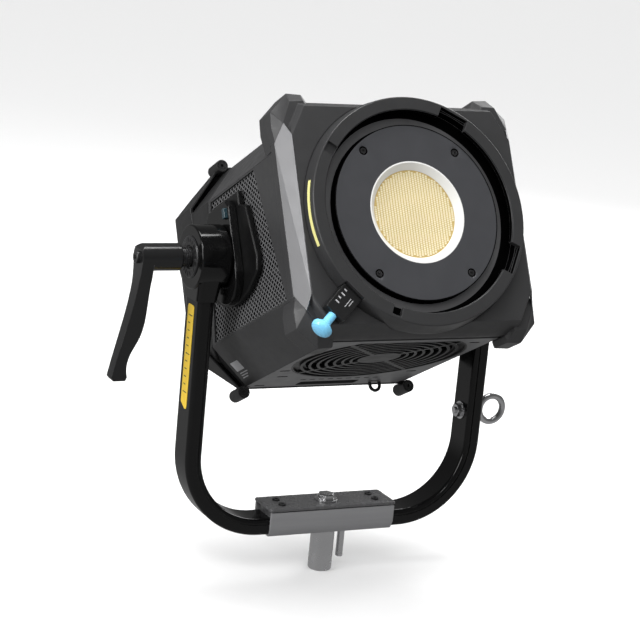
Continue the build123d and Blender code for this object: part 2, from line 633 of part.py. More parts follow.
MARK_Y = (-171.5, -167.5)
MARK_DEGREES = (165, 197)
with BuildPart() as ring_mark:
    with BuildSketch(radial_plane(MARK_DEGREES[0])):
        front, back = MARK_Y
        Polygon((flank_r(front, 0.02), front), (flank_r(back, 0.02), back),
                (flank_r(back, 0.4), back), (flank_r(front, 0.4), front), align=None)
    revolve(axis=BEAM_AXIS, revolution_arc=MARK_DEGREES[1] - MARK_DEGREES[0])
save(ring_mark.part, "ring_mark", in_head=True)

# ---- lock block: guides the locking pin on the bezel's lower left corner
with BuildPart() as lock_block:
    with BuildSketch(across_beam(FACE_Y, LOCK_ANGLE)):
        with Locations(((BLOCK_IN_R + BLOCK_OUT_R) / 2, 0)):
            RectangleRounded(BLOCK_OUT_R - BLOCK_IN_R, BLOCK_WIDTH, 2)
    extrude(amount=12)
    chamfer(lock_block.faces().sort_by(Axis.Y)[0].edges(), 0.8)
    with Locations(Location(LOCK_PLANE)):
        with Locations(Location((143, 0, 0), (0, 90, 0))):
            Cylinder(3.1, 60, mode=Mode.SUBTRACT)
save(lock_block.part, "lock_block", in_head=True)

# ---- lock pin and knob: pulled outward to free a lens locked in the ring
with BuildPart() as lock_pin:
    with Locations(Location(LOCK_PLANE)):
        with Locations(Location((120.5, 0, 0), (0, 90, 0))):
            Cylinder(3.0, 60, align=(Align.CENTER, Align.CENTER, Align.MIN))
save(lock_pin.part, "lock_pin", in_head=True)

with BuildPart() as lock_knob:
    # A straight stem that flares into a domed head; (distance along the pull, radius).
    with BuildSketch(LOCK_PLANE):
        Polygon((164, 3), (164, 4.9), (174.5, 4.9), (177, 6.0), (179.5, 8.6), (181.5, 11.2),
                (183, 11.8), (186, 11.6), (188.2, 10.2), (189.8, 7.6), (190.7, 4), (191, 0),
                (180.5, 0), (180.5, 3), align=None)
    revolve(axis=LOCK_AXIS)
save(lock_knob.part, "lock_knob", in_head=True)

# ---- light engine: face plate, reflector ring, phosphor disc, its board and the spreader
FACE_T = 3.0
SCREW_XZ = [(sx * 57.3, sz * 69.0) for sx in (-1, 1) for sz in (-1, 1)]
PLATE_SINK = 2.0          # depth of the screws' counterbores
BOARD_FRONT_Y = -161.4
SPREADER_FRONT_Y = -158.4
SPREADER_BACK_Y = -144.0

with BuildPart() as led_plate:
    with BuildSketch(across_beam(RING_FLOOR_Y)):
        Circle(PLATE_R)
    extrude(amount=RING_FLOOR_Y - PLATE_FRONT_Y)
    fillet(led_plate.faces().sort_by(Axis.Y)[0].edges(), 1.6)
    with BuildSketch(across_beam(RING_FLOOR_Y)):
        Circle(PLATE_R - 2)
    extrude(amount=RING_FLOOR_Y - PLATE_FRONT_Y - FACE_T, mode=Mode.SUBTRACT)
    with BuildSketch(across_beam(RING_FLOOR_Y)):
        Circle(REFLECTOR_R + 1.5)
        with Locations(*SCREW_XZ):
            Circle(2.2)
    extrude(amount=30, mode=Mode.SUBTRACT)
    with BuildSketch(across_beam(PLATE_FRONT_Y + PLATE_SINK)):
        with Locations(*SCREW_XZ):
            Circle(5.0)
    extrude(amount=5, mode=Mode.SUBTRACT)
save(led_plate.part, "led_plate", in_head=True)

with BuildPart() as led_plate_screws:
    with BuildSketch(across_beam(PLATE_FRONT_Y + PLATE_SINK)):
        with Locations(*SCREW_XZ):
            Circle(3.3)
    extrude(amount=PLATE_SINK - 0.2)
    with BuildSketch(across_beam(PLATE_FRONT_Y + PLATE_SINK)):
        with Locations(*SCREW_XZ):
            Circle(2.0)
    extrude(amount=PLATE_FRONT_Y + PLATE_SINK - SPREADER_FRONT_Y - 9)
    with BuildSketch(across_beam(PLATE_FRONT_Y + 0.2)):
        with Locations(*SCREW_XZ):
            RegularPolygon(1.9, 6)
    extrude(amount=-1.3, mode=Mode.SUBTRACT)
save(led_plate_screws.part, "led_plate_screws", in_head=True)

with BuildPart() as reflector_ring:
    add(turned([(REFLECTOR_R, PLATE_FRONT_Y), (REFLECTOR_R + 1.5, PLATE_FRONT_Y),
                (REFLECTOR_R + 1.5, BOARD_FRONT_Y), (PHOSPHOR_R, BOARD_FRONT_Y),
                (PHOSPHOR_R, PHOSPHOR_Y)]))
save(reflector_ring.part, "reflector_ring", in_head=True)

with BuildPart() as led_phosphor:
    with BuildSketch(across_beam(BOARD_FRONT_Y)):
        Circle(PHOSPHOR_R)
    extrude(amount=BOARD_FRONT_Y - PHOSPHOR_Y)
save(led_phosphor.part, "led_phosphor", in_head=True)

with BuildPart() as led_board:
    with BuildSketch(across_beam(SPREADER_FRONT_Y)):
        RectangleRounded(122, 122, 6)
        with Locations(*SCREW_XZ):
            Circle(4.0, mode=Mode.SUBTRACT)
    extrude(amount=SPREADER_FRONT_Y - BOARD_FRONT_Y)
save(led_board.part, "led_board", in_head=True)

PIPE_R = 4.0
PIPE_SPOTS = [(x, z) for z in (-30, 36) for x in (-57, -19, 19, 57)]
with BuildPart() as heat_spreader:
    with BuildSketch(across_beam(SPREADER_BACK_Y)):
        Circle(RING_INNER_R - 0.4)
        with Locations(*SCREW_XZ):
            Circle(2.0, mode=Mode.SUBTRACT)
    extrude(amount=SPREADER_BACK_Y - SPREADER_FRONT_Y)
    with BuildSketch(across_beam(SPREADER_BACK_Y)):
        with Locations(*PIPE_SPOTS):
            Circle(PIPE_R)
    extrude(amount=8, mode=Mode.SUBTRACT)
save(heat_spreader.part, "heat_spreader", in_head=True)

# ---- heat pipes and fins: the pipes carry heat back into a stack of fins over the fan
FIN_FRONT_Y = -118.0
FIN_PITCH = 8.0
FIN_COUNT = 21
FIN_TOP = 98.0
FIN_LOW = -84.0
with BuildPart() as heat_pipes:
    with BuildSketch(across_beam(SPREADER_BACK_Y - 8)):
        with Locations(*PIPE_SPOTS):
            Circle(PIPE_R)
    extrude(amount=SPREADER_BACK_Y - 8 - (FIN_FRONT_Y + FIN_PITCH * FIN_COUNT))
save(heat_pipes.part, "heat_pipes", in_head=True)

with BuildPart() as heat_fins:
    fin_planes = [across_beam(FIN_FRONT_Y + FIN_PITCH * i) for i in range(FIN_COUNT)]
    with BuildSketch(*fin_planes):
        with Locations((0, (FIN_TOP + FIN_LOW) / 2 - LENS_Z)):
            Rectangle(232, FIN_TOP - FIN_LOW)
        with Locations(*PIPE_SPOTS):
            Circle(PIPE_R, mode=Mode.SUBTRACT)
    extrude(amount=0.8)
    # Folded feet tie the stack together and stand it on the bottom cover.
    for side in (-1, 1):
        with Locations(Location((side * 116, (FIN_FRONT_Y + 42) / 2 - 0.4, 8))):
            Box(1.2, 42 - FIN_FRONT_Y + 0.8, 120)
save(heat_fins.part, "heat_fins", in_head=True)


# ================================================================ head, body
# ---- covers: top and bottom sheets, each with its two sloping facets. The side seam runs
# forward of the body's back, so the rear housing reaches forward in a cheek on each side.
TOP_SEAM_Z = BODY_HALF[1][1] - 1.0
LOW_SEAM_Z = BODY_LOW[0][1] + 1.0
TOP_Z = BODY_HALF[0][1]
LOW_Z = BODY_LOW[1][1]
TOP_CORNER_X = BODY_HALF[0][0]
SEAM_GAP = 1.2            # between the covers and the cheeks
WEDGE_TOP_Y = 84.0        # where the covers' slanted ends reach the top and the bottom sheet
WEDGE_LOW_Y = 98.0


def body_shell(outer, inner, front_y, back_y):
    """The body's wall between two insets, from front to back."""
    with BuildPart() as shell:
        with BuildSketch(facing_front(back_y)):
            Polygon(*body_outline(outer), align=None)
            Polygon(*body_outline(inner), align=None, mode=Mode.SUBTRACT)
        extrude(amount=back_y - front_y)
    return shell.part


def side_prism(points, near_x=0.0):
    """A side view outline as a pair of prisms, outward from near_x on both sides."""
    with BuildPart() as prism:
        with BuildSketch(facing_side(near_x)):
            Polygon(*points, align=None)
        extrude(amount=200)
        mirror(about=Plane.YZ)
    return prism.part


cover_shell = body_shell(0, SHEET, BEZEL_BACK_Y, BODY_BACK_Y)
behind_seam = side_prism([(WEDGE_TOP_Y, TOP_Z + 1), (SEAM_TOP_Y, BODY_HALF[1][1]),
                          (SEAM_LOW_Y, BODY_LOW[0][1]), (WEDGE_LOW_Y, LOW_Z - 1),
                          (200, LOW_Z - 1), (200, TOP_Z + 1)], TOP_CORNER_X + 1)
VENT_YS = [-84 + 13 * i for i in range(12)]

with BuildPart() as top_cover:
    add(cover_shell)
    with Locations(Location((0, 0, TOP_SEAM_Z))):
        Box(400, 400, 200, align=(Align.CENTER, Align.CENTER, Align.MIN), mode=Mode.INTERSECT)
    add(behind_seam, mode=Mode.SUBTRACT)
    with BuildSketch(Plane.XY.offset(TOP_Z + 1)):
        with Locations(*[(x, y) for x in (-58, 0, 58) for y in VENT_YS]):
            SlotOverall(46, 5)
    extrude(amount=-SHEET - 2, mode=Mode.SUBTRACT)
save(top_cover.part, "top_cover", in_head=True)

BOTTOM_SLOTS = [(-94, -72), (86, -108), (-93, 16), (-82, 48), (-90, 96), (84, 40), (60, 92)]
POCKET = (-3.0, 91.0)     # shallow tray behind the fan opening
POCKET_DEPTH = 5.5
POCKET_FLOOR = 1.5
POCKET_SIZE = (78.0, 18.0)
with BuildPart() as bottom_cover:
    add(cover_shell)
    with Locations(Location((0, 0, LOW_SEAM_Z))):
        Box(400, 400, 200, align=(Align.CENTER, Align.CENTER, Align.MAX), mode=Mode.INTERSECT)
    add(behind_seam, mode=Mode.SUBTRACT)
    with BuildSketch(Plane.XY.offset(LOW_Z)):
        with Locations(POCKET):
            RectangleRounded(POCKET_SIZE[0] + 5, POCKET_SIZE[1] + 5, 4)
    extrude(amount=POCKET_DEPTH + POCKET_FLOOR)
    with BuildSketch(Plane.XY.offset(LOW_Z)):
        with Locations(POCKET):
            RectangleRounded(*POCKET_SIZE, 3)
    extrude(amount=POCKET_DEPTH, mode=Mode.SUBTRACT)
    with BuildSketch(Plane.XY.offset(LOW_Z - 1)):
        with Locations((0, FAN_Y)):
            Circle(GUARD_R)
        with Locations((0, GUARD_FRONT_Y)):
            Rectangle(2 * GUARD_R, 200, align=(Align.CENTER, Align.MIN), mode=Mode.INTERSECT)
        with Locations(*BOTTOM_SLOTS):
            SlotOverall(13, 4)
        with Locations(*[(-45 + 12 * i, 70) for i in range(9)]):
            SlotOverall(7, 2.6)
    extrude(amount=SHEET + 2, mode=Mode.SUBTRACT)
save(bottom_cover.part, "bottom_cover", in_head=True)

# ---- side panels: flat sides with a big slanted window, backed by a slotted grille
WINDOW = [(-74, 79), (52, 79), (84, -81), (-118, -81)]
SIDE_X = BODY_HALF[1][0]
with BuildPart() as side_panel_left:
    add(cover_shell)
    with Locations(Location((0, 0, (TOP_SEAM_Z + LOW_SEAM_Z) / 2))):
        Box(400, 400, TOP_SEAM_Z - LOW_SEAM_Z, mode=Mode.INTERSECT)
    add(behind_seam, mode=Mode.SUBTRACT)
    add(side_prism(WINDOW), mode=Mode.SUBTRACT)
    with Locations(Location((200, 0, 0))):
        Box(400, 400, 400, mode=Mode.SUBTRACT)
save(side_panel_left.part, "side_panel_left", in_head=True)
save(mirrored(side_panel_left.part), "side_panel_right", in_head=True)

MESH_T = 1.2
SLOT_PITCH = 7.5
with BuildPart() as side_mesh_left:
    with BuildSketch(facing_side(-SIDE_X + SHEET)):
        Polygon((-77, 80.5), (54, 80.5), (86, -82.5), (-121, -82.5), align=None)
        # Slots lean with the window's rear edge and stop short of its slanted front edge.
        for row, z in enumerate((50, 0, -50)):
            first = -66 - 22 * row
            count = int((44 + 9 * row - first) / SLOT_PITCH)
            with Locations(*[Location((first + SLOT_PITCH * (i + 1), z, 0), 100) for i in range(count)]):
                SlotOverall(44, 3.6, mode=Mode.SUBTRACT)
    extrude(amount=MESH_T)
save(side_mesh_left.part, "side_mesh_left", in_head=True)
save(mirrored(side_mesh_left.part), "side_mesh_right", in_head=True)

# ---- dovetails: a base plate on each side panel carrying the male dovetail
with BuildPart() as dovetail_left:
    with BuildSketch(facing_side(-SIDE_X)):
        right = [(39, 66), (39, 50), (55, 44), (70, -18), (66, -34), (36, -50), (10, -56)]
        Polygon(*right, *[(-y, z) for y, z in reversed(right)], align=None)
    extrude(amount=SIDE_X - DOVETAIL_BASE_X)
    chamfer(dovetail_left.faces().sort_by(Axis.X)[0].edges(), 1.5)
    with BuildSketch(Plane.XY.offset(DOVETAIL_Z[0])):
        Polygon(*dovetail_section(DOVETAIL_BASE_X, DOVETAIL_FACE_X, 0), align=None)
    extrude(amount=DOVETAIL_Z[1] - DOVETAIL_Z[0])
save(dovetail_left.part, "dovetail_left", in_head=True)
save(mirrored(dovetail_left.part), "dovetail_right", in_head=True)

# ---- fan: guard in the bottom cover, frame above it, rotor blowing up through the fins
GUARD_T = 2.5
RING_STEP = 9.4
RING_COUNT = 8
GUARD_HUB_R = 25.0
with BuildPart() as fan_grille:
    with BuildSketch(Plane.XY.offset(LOW_Z)):
        with Locations((0, FAN_Y)):
            for i in range(RING_COUNT):
                outer = GUARD_R - RING_STEP * i
                Circle(outer)
                Circle(outer - (3.4 if i else 2.0), mode=Mode.SUBTRACT)
            Circle(GUARD_HUB_R)
            for angle in (45, 135):
                with Locations(Location((0, 0, 0), angle)):
                    Rectangle(2 * GUARD_R - 2, 5)
        with Locations((0, GUARD_FRONT_Y)):
            Rectangle(2 * GUARD_R, 200, align=(Align.CENTER, Align.MIN), mode=Mode.INTERSECT)
        with Locations((0, GUARD_FRONT_Y)):
            Rectangle(2 * 61, 3, align=(Align.CENTER, Align.MIN))
    extrude(amount=GUARD_T)
save(fan_grille.part, "fan_grille", in_head=True)

FRAME_LOW = LOW_Z + GUARD_T
FRAME_H = 26.0
FRAME_BORE_R = 84.0
with BuildPart() as fan_frame:
    with BuildSketch(Plane.XY.offset(FRAME_LOW)):
        with Locations((0, FAN_Y)):
            RectangleRounded(196, 174, 14)
            Circle(FRAME_BORE_R, mode=Mode.SUBTRACT)
    extrude(amount=FRAME_H)
    with BuildSketch(Plane.XY.offset(FRAME_LOW + FRAME_H - 3)):
        with Locations((0, FAN_Y)):
            Circle(30)
            for angle in (0, 60, 120):
                with Locations(Location((0, 0, 0), angle)):
                    Rectangle(2 * FRAME_BORE_R + 2, 6)
            Circle(3.5, mode=Mode.SUBTRACT)
    extrude(amount=3)
save(fan_frame.part, "fan_frame", in_head=True)

BLADE_COUNT = 7
TIP_R = 79.0
with BuildPart() as fan_rotor:
    with Locations(Location((0, FAN_Y, FRAME_LOW + 2.5))):
        Cylinder(30, 17, align=(Align.CENTER, Align.CENTER, Align.MIN))
        Cylinder(3.45, FRAME_H - 4, align=(Align.CENTER, Align.CENTER, Align.MIN))
    for i in range(BLADE_COUNT):
        turn = 360 / BLADE_COUNT * i
        blade = Plane(origin=(0, FAN_Y, FRAME_LOW + 11)).rotated((0, 0, turn))
        with BuildSketch(Plane(origin=blade.origin + blade.x_dir * 29, x_dir=blade.y_dir,
                               z_dir=blade.x_dir)) as root:
            with Locations(Location((0, 0, 0), 35)):
                SlotOverall(22, 2.2)
        with BuildSketch(Plane(origin=blade.origin + blade.x_dir * TIP_R + blade.y_dir * 6,
                               x_dir=blade.y_dir, z_dir=blade.x_dir)) as tip:
            with Locations(Location((0, 0, 0), 22)):
                SlotOverall(38, 1.8)
        loft(sections=[root.sketch, tip.sketch])
save(fan_rotor.part, "fan_rotor", in_head=True)


# ================================================================ head, rear
REAR_TOP_Z = 142.0
REAR_LOW_Z = -132.0


def rear_block(inset):
    """Solid of the rear housing: the body's section cut by its sloping back."""
    with BuildPart() as block:
        with BuildSketch(facing_front(REAR_FRONT_Y)):
            half = 147 - inset
            corner = 0.42 * inset
            top = REAR_TOP_Z - inset
            low = REAR_LOW_Z + inset
            Polygon((104 - corner, top), (half, 90 - corner), (half, -88 + corner),
                    (110 - corner, low), (corner - 110, low), (-half, corner - 88),
                    (-half, 90 - corner), (corner - 104, top), align=None)
        extrude(amount=REAR_FRONT_Y - REAR_BACK_Y)
        with BuildSketch(Plane.YZ.offset(-200)):
            back = REAR_BACK_Y - inset
            top = REAR_TOP_Z - inset
            low = REAR_LOW_Z + inset
            Polygon((REAR_FRONT_Y, top), (112, top), (144, 111 - inset),
                    (back, 69 - inset / 2), (back, -63 + inset / 2), (144, -91 + inset),
                    (112, low), (REAR_FRONT_Y, low), align=None)
        extrude(amount=400, mode=Mode.INTERSECT)
        with BuildSketch(Plane.XY.offset(-200)):
            side = 147 - inset
            Polygon((-side, REAR_FRONT_Y), (-side, 158), (6 - side, back), (side - 6, back),
                    (side, 158), (side, REAR_FRONT_Y), align=None)
        extrude(amount=400, mode=Mode.INTERSECT)
    return block.part


REAR_WALL = 3.0
LUG_R = 7.6
LUG_FRONT_Y = REAR_FRONT_Y - 12
LUG_L = 28.0
SINK = 4.6                # depth of the counterbore in each lug
LUG_SPOTS = [(sx * 104, TOP_Z + LUG_R + 0.4) for sx in (-1, 1)]
LUG_SPOTS += [(sx * 110, LOW_Z - LUG_R + 1.0) for sx in (-1, 1)]
BOSS_SPOTS = [(sx * 80, sz * 45) for sx in (-1, 1) for sz in (-1, 1)]
BOARD_Y = 124.0
INLET_SPOT = (-62, -30)
rear_outside = rear_block(0)
rear_inside = rear_block(REAR_WALL)

# ---- rear gasket: a dark lining inside the seam, seen in the wedges on the sloping facets
LINING_FRONT_Y = 86.0
lining_facets = body_shell(SHEET + 0.2, SHEET + 2.2, SEAM_TOP_Y - 4, LINING_FRONT_Y)
with BuildPart() as rear_gasket:
    add(lining_facets)
    with Locations(Location((0, SEAM_TOP_Y, -20))):
        Box(400, 200, 207, mode=Mode.SUBTRACT)
    add(body_shell(SHEET + 0.2, SHEET + 2.2, LINING_FRONT_Y, REAR_FRONT_Y))
    with Locations(Location((POCKET[0], POCKET[1], LOW_Z))):
        Box(POCKET_SIZE[0] + 8, POCKET_SIZE[1] + 8, 20, mode=Mode.SUBTRACT)
save(rear_gasket.part, "rear_gasket", in_head=True)

# ---- rear housing: box with a sloping back, a cheek forward along each side, and four lugs
CHEEK_BACK_Y = REAR_FRONT_Y + 1
cheek_wall = body_shell(0, SHEET, SEAM_TOP_Y - 4, CHEEK_BACK_Y)
cheek_view = side_prism([(SEAM_TOP_Y + SEAM_GAP, BODY_HALF[1][1]), (WEDGE_TOP_Y + SEAM_GAP, TOP_Z + 1),
                         (CHEEK_BACK_Y, TOP_Z + 1), (CHEEK_BACK_Y, LOW_Z + 32),
                         (SEAM_LOW_Y + SEAM_GAP, BODY_LOW[0][1])], TOP_CORNER_X + 1)
with BuildPart() as cheeks:
    add(cheek_wall)
    add(cheek_view, mode=Mode.INTERSECT)

with BuildPart() as rear_housing:
    add(rear_outside)
    add(rear_inside, mode=Mode.SUBTRACT)
    add(cheeks.part)
    with BuildSketch(facing_front(REAR_FRONT_Y + REAR_WALL)):
        Polygon(*body_outline(1.0), align=None)
        Polygon(*body_outline(8.0), align=None, mode=Mode.SUBTRACT)
    extrude(amount=REAR_WALL)
    with BuildSketch(facing_front(REAR_BACK_Y - 1)):
        with Locations(*BOSS_SPOTS):
            Circle(5)
    extrude(amount=REAR_BACK_Y - 1 - BOARD_Y)
    with BuildSketch(facing_front(LUG_FRONT_Y)):
        with Locations(*LUG_SPOTS):
            Circle(LUG_R)
    extrude(amount=-LUG_L)
    with BuildSketch(facing_front(LUG_FRONT_Y)):
        with Locations(*LUG_SPOTS):
            Circle(5.2)
    extrude(amount=-SINK, mode=Mode.SUBTRACT)
    with BuildSketch(facing_front(LUG_FRONT_Y)):
        with Locations(*LUG_SPOTS):
            Circle(2.55)
    extrude(amount=-20, mode=Mode.SUBTRACT)
    with BuildSketch(facing_front(REAR_BACK_Y + 1)):
        with Locations(INLET_SPOT):
            Circle(13)
    extrude(amount=8, mode=Mode.SUBTRACT)
save(rear_housing.part, "rear_housing", in_head=True)

# ---- rear screws: socket cap screws sunk in the lugs
with BuildPart() as rear_screws:
    with BuildSketch(facing_front(LUG_FRONT_Y + SINK)):
        with Locations(*LUG_SPOTS):
            Circle(4.8)
    extrude(amount=4.0)
    with BuildSketch(facing_front(LUG_FRONT_Y + SINK)):
        with Locations(*LUG_SPOTS):
            Circle(2.5)
    extrude(amount=-14)
    with BuildSketch(facing_front(LUG_FRONT_Y + 0.6)):
        with Locations(*LUG_SPOTS):
            RegularPolygon(2.4, 6)
    extrude(amount=-2.6, mode=Mode.SUBTRACT)
save(rear_screws.part, "rear_screws", in_head=True)

# ---- driver board: circuit board with coils and capacitors, on bosses in the rear housing
with BuildPart() as driver_board:
    with BuildSketch(facing_front(BOARD_Y)):
        Rectangle(210, 130)
    extrude(amount=1.8)
    with BuildSketch(facing_front(BOARD_Y - 1.8)):
        with Locations((-70, 20), (-22, 26)):
            Rectangle(36, 40)
    extrude(amount=28)
    with BuildSketch(facing_front(BOARD_Y - 1.8)):
        with Locations(*[(28 + 26 * i, 32) for i in range(3)]):
            Circle(11)
    extrude(amount=32)
    with BuildSketch(facing_front(BOARD_Y - 1.8)):
        with Locations(*[(-80 + 32 * i, -36) for i in range(6)]):
            Rectangle(20, 14)
    extrude(amount=9)
save(driver_board.part, "driver_board", in_head=True)

# ---- power inlet: round locking connector in the rear wall
with BuildPart() as power_inlet:
    with BuildSketch(facing_front(REAR_BACK_Y)):
        with Locations(INLET_SPOT):
            RectangleRounded(36, 36, 4)
    extrude(amount=-3)
    with BuildSketch(facing_front(REAR_BACK_Y + 3)):
        with Locations(INLET_SPOT):
            Circle(13)
    extrude(amount=24)
    with BuildSketch(facing_front(REAR_BACK_Y + 3)):
        with Locations(INLET_SPOT):
            Circle(11)
            Circle(6, mode=Mode.SUBTRACT)
    extrude(amount=14, mode=Mode.SUBTRACT)
save(power_inlet.part, "power_inlet", in_head=True)

# ---- safety loop: wire staple under the rear edge for a second safety cable
LOOP_X = (58.0, 71.0)
LOOP_Y = 99.0
LOOP_DROP = 4.0           # straight part of each leg
with BuildPart() as safety_loop:
    loop_mid = sum(LOOP_X) / 2
    loop_r = (LOOP_X[1] - LOOP_X[0]) / 2
    with BuildLine() as loop_path:
        low_z = LOW_Z - LOOP_DROP
        Line((LOOP_X[0], LOOP_Y, LOW_Z), (LOOP_X[0], LOOP_Y, low_z))
        ThreePointArc((LOOP_X[0], LOOP_Y, low_z), (loop_mid, LOOP_Y, low_z - loop_r),
                      (LOOP_X[1], LOOP_Y, low_z))
        Line((LOOP_X[1], LOOP_Y, low_z), (LOOP_X[1], LOOP_Y, LOW_Z))
    with BuildSketch(Plane(origin=(LOOP_X[0], LOOP_Y, LOW_Z), z_dir=(0, 0, -1))):
        Circle(2.0)
    sweep()
save(safety_loop.part, "safety_loop", in_head=True)
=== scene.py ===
import json
from math import atan2, cos, radians, sin, tau

import bmesh
import bpy
from mathutils import Matrix, Vector


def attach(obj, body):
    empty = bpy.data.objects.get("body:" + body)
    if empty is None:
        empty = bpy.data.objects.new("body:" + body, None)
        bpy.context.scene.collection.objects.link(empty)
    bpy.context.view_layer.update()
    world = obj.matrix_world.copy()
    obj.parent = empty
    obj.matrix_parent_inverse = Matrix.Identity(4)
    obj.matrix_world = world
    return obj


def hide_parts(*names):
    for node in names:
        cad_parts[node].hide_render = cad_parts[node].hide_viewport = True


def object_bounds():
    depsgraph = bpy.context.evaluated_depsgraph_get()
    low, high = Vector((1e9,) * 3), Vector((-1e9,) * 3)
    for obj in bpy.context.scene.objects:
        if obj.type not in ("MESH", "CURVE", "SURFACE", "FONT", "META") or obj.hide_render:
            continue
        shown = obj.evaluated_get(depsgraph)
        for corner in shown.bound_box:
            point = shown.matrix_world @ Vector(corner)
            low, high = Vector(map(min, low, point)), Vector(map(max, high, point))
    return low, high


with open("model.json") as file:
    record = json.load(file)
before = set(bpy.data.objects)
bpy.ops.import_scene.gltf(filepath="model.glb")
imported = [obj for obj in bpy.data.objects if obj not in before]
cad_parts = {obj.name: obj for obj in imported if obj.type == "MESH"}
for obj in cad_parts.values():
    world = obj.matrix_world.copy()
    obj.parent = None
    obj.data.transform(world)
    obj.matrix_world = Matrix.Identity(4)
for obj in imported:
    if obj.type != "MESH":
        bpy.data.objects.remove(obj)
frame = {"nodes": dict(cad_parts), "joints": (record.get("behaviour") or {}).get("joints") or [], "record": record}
cad_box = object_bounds()
nodes = frame["nodes"]
joints = {joint["name"]: joint for joint in frame["joints"]}
body_of_node = {n: body for body, members in frame["record"]["behaviour"]["bodies"].items()
                for n in members}
slot_of_node = {s["node"]: s["material_slot"] for s in frame["record"]["subparts"]}

# ------------------------------------------------------------------ where the head is
MM = 0.001
tilt_pos = Vector(joints["head_tilt"]["pos_m"])
head_up = Vector(joints["head_lift"]["axis"]).normalized()
head_tilt = atan2(head_up.y, head_up.z)
HEAD = Matrix.Translation(tilt_pos) @ Matrix.Rotation(-head_tilt, 4, "X") @ Matrix.Scale(MM, 4)
ROW = Matrix.Scale(MM, 4)             # millimetres of the yoke's frame, in the scene
LENS_Z = 3.0                          # optical axis above the tilt axis, in millimetres


# ------------------------------------------------------------------ material helpers
def add_node(tree, kind, **settings):
    """Makes a shader node; settings are sockets by name, or attributes of the node."""
    node = tree.nodes.new(kind)
    for key, value in settings.items():
        if hasattr(node, key):
            setattr(node, key, value)
        else:
            node.inputs[key.replace("_", " ")].default_value = value
    return node


def noise_node(tree, scale, detail=3.0, stretch=None):
    """Noise in object space; scale counts lumps per metre."""
    where = add_node(tree, "ShaderNodeTexCoord").outputs["Object"]
    if stretch:
        mapping = add_node(tree, "ShaderNodeMapping")
        mapping.inputs["Scale"].default_value = stretch
        tree.links.new(where, mapping.inputs["Vector"])
        where = mapping.outputs["Vector"]
    texture = add_node(tree, "ShaderNodeTexNoise", Scale=scale, Detail=detail)
    tree.links.new(where, texture.inputs["Vector"])
    return texture.outputs["Fac"]


def remap(tree, value, low, high, out_low, out_high):
    node = add_node(tree, "ShaderNodeMapRange")
    for name, number in (("From Min", low), ("From Max", high), ("To Min", out_low),
                         ("To Max", out_high)):
        node.inputs[name].default_value = number
    tree.links.new(value, node.inputs["Value"])
    return node.outputs["Result"]


def mix_colour(tree, factor, first, second):
    node = add_node(tree, "ShaderNodeMix", data_type="RGBA")
    sockets = {"Factor": factor, "A": first, "B": second}
    for socket in node.inputs:
        value = sockets.get(socket.name)
        if value is None or not socket.enabled:
            continue
        if hasattr(value, "is_linked"):
            tree.links.new(value, socket)
        else:
            socket.default_value = value
    return next(out for out in node.outputs if out.enabled)


def edge_mask(tree, radius):
    """1 along hard edges, 0 on flat faces, broken up by noise."""
    bevel = add_node(tree, "ShaderNodeBevel", samples=4)
    bevel.inputs["Radius"].default_value = radius
    flat = add_node(tree, "ShaderNodeNewGeometry").outputs["Normal"]
    dot = add_node(tree, "ShaderNodeVectorMath", operation="DOT_PRODUCT")
    tree.links.new(bevel.outputs["Normal"], dot.inputs[0])
    tree.links.new(flat, dot.inputs[1])
    edge = remap(tree, dot.outputs["Value"], 0.985, 0.86, 0.0, 1.0)
    patchy = remap(tree, noise_node(tree, 160, 4), 0.45, 0.66, 0.1, 1.0)
    both = add_node(tree, "ShaderNodeMath", operation="MULTIPLY")
    tree.links.new(edge, both.inputs[0])
    tree.links.new(patchy, both.inputs[1])
    return both.outputs["Value"]


def grey(level):
    """Linear grey a touch cooler than neutral."""
    return (level, level, level * 1.03)


def shade(colour, factor):
    return (*[min(1.0, c * factor) for c in colour[:3]], 1.0)


def finish(name, colour, rough, metallic=0.0, mottle=0.12, grain=1100, bump=0.04, shine=0.5,
           edge_wear_and_highlight=None, edge_wear_and_highlight_mm=0.5, stretch=None, coat=0.0, glow=0.0):
    """A painted, moulded or plated finish: mottled colour, uneven gloss, fine grain, edges painted lighter as wear
    and as painted highlight. bump and the width of the lighter edges are in millimetres; shine is the strength of
    the surface reflection."""
    material = bpy.data.materials.new(name)
    material.use_nodes = True
    tree = material.node_tree
    shader = tree.nodes["Principled BSDF"]
    cloud = noise_node(tree, 45, 4, stretch)
    base = mix_colour(tree, cloud, shade(colour, 1 - mottle), shade(colour, 1 + mottle))
    gloss = remap(tree, noise_node(tree, 95, 3, stretch), 0.3, 0.7, rough - 0.04, rough + 0.05)
    # Hard edges are painted lighter: partly real wear, partly painted highlight standing in for glints on the
    # chamfers.
    if edge_wear_and_highlight:
        base = mix_colour(tree, edge_mask(tree, edge_wear_and_highlight_mm * MM), base, (*edge_wear_and_highlight, 1.0))
    tree.links.new(base, shader.inputs["Base Color"])
    tree.links.new(gloss, shader.inputs["Roughness"])
    shader.inputs["Metallic"].default_value = metallic
    shader.inputs["Specular IOR Level"].default_value = shine
    shader.inputs["Coat Weight"].default_value = coat
    shader.inputs["Coat Roughness"].default_value = 0.10
    if glow:
        shader.inputs["Emission Strength"].default_value = glow
        shader.inputs["Emission Color"].default_value = (*colour, 1.0)
    relief = add_node(tree, "ShaderNodeBump", Strength=0.6, Distance=bump * MM)
    tree.links.new(noise_node(tree, grain, 2, stretch), relief.inputs["Height"])
    tree.links.new(relief.outputs["Normal"], shader.inputs["Normal"])
    return material


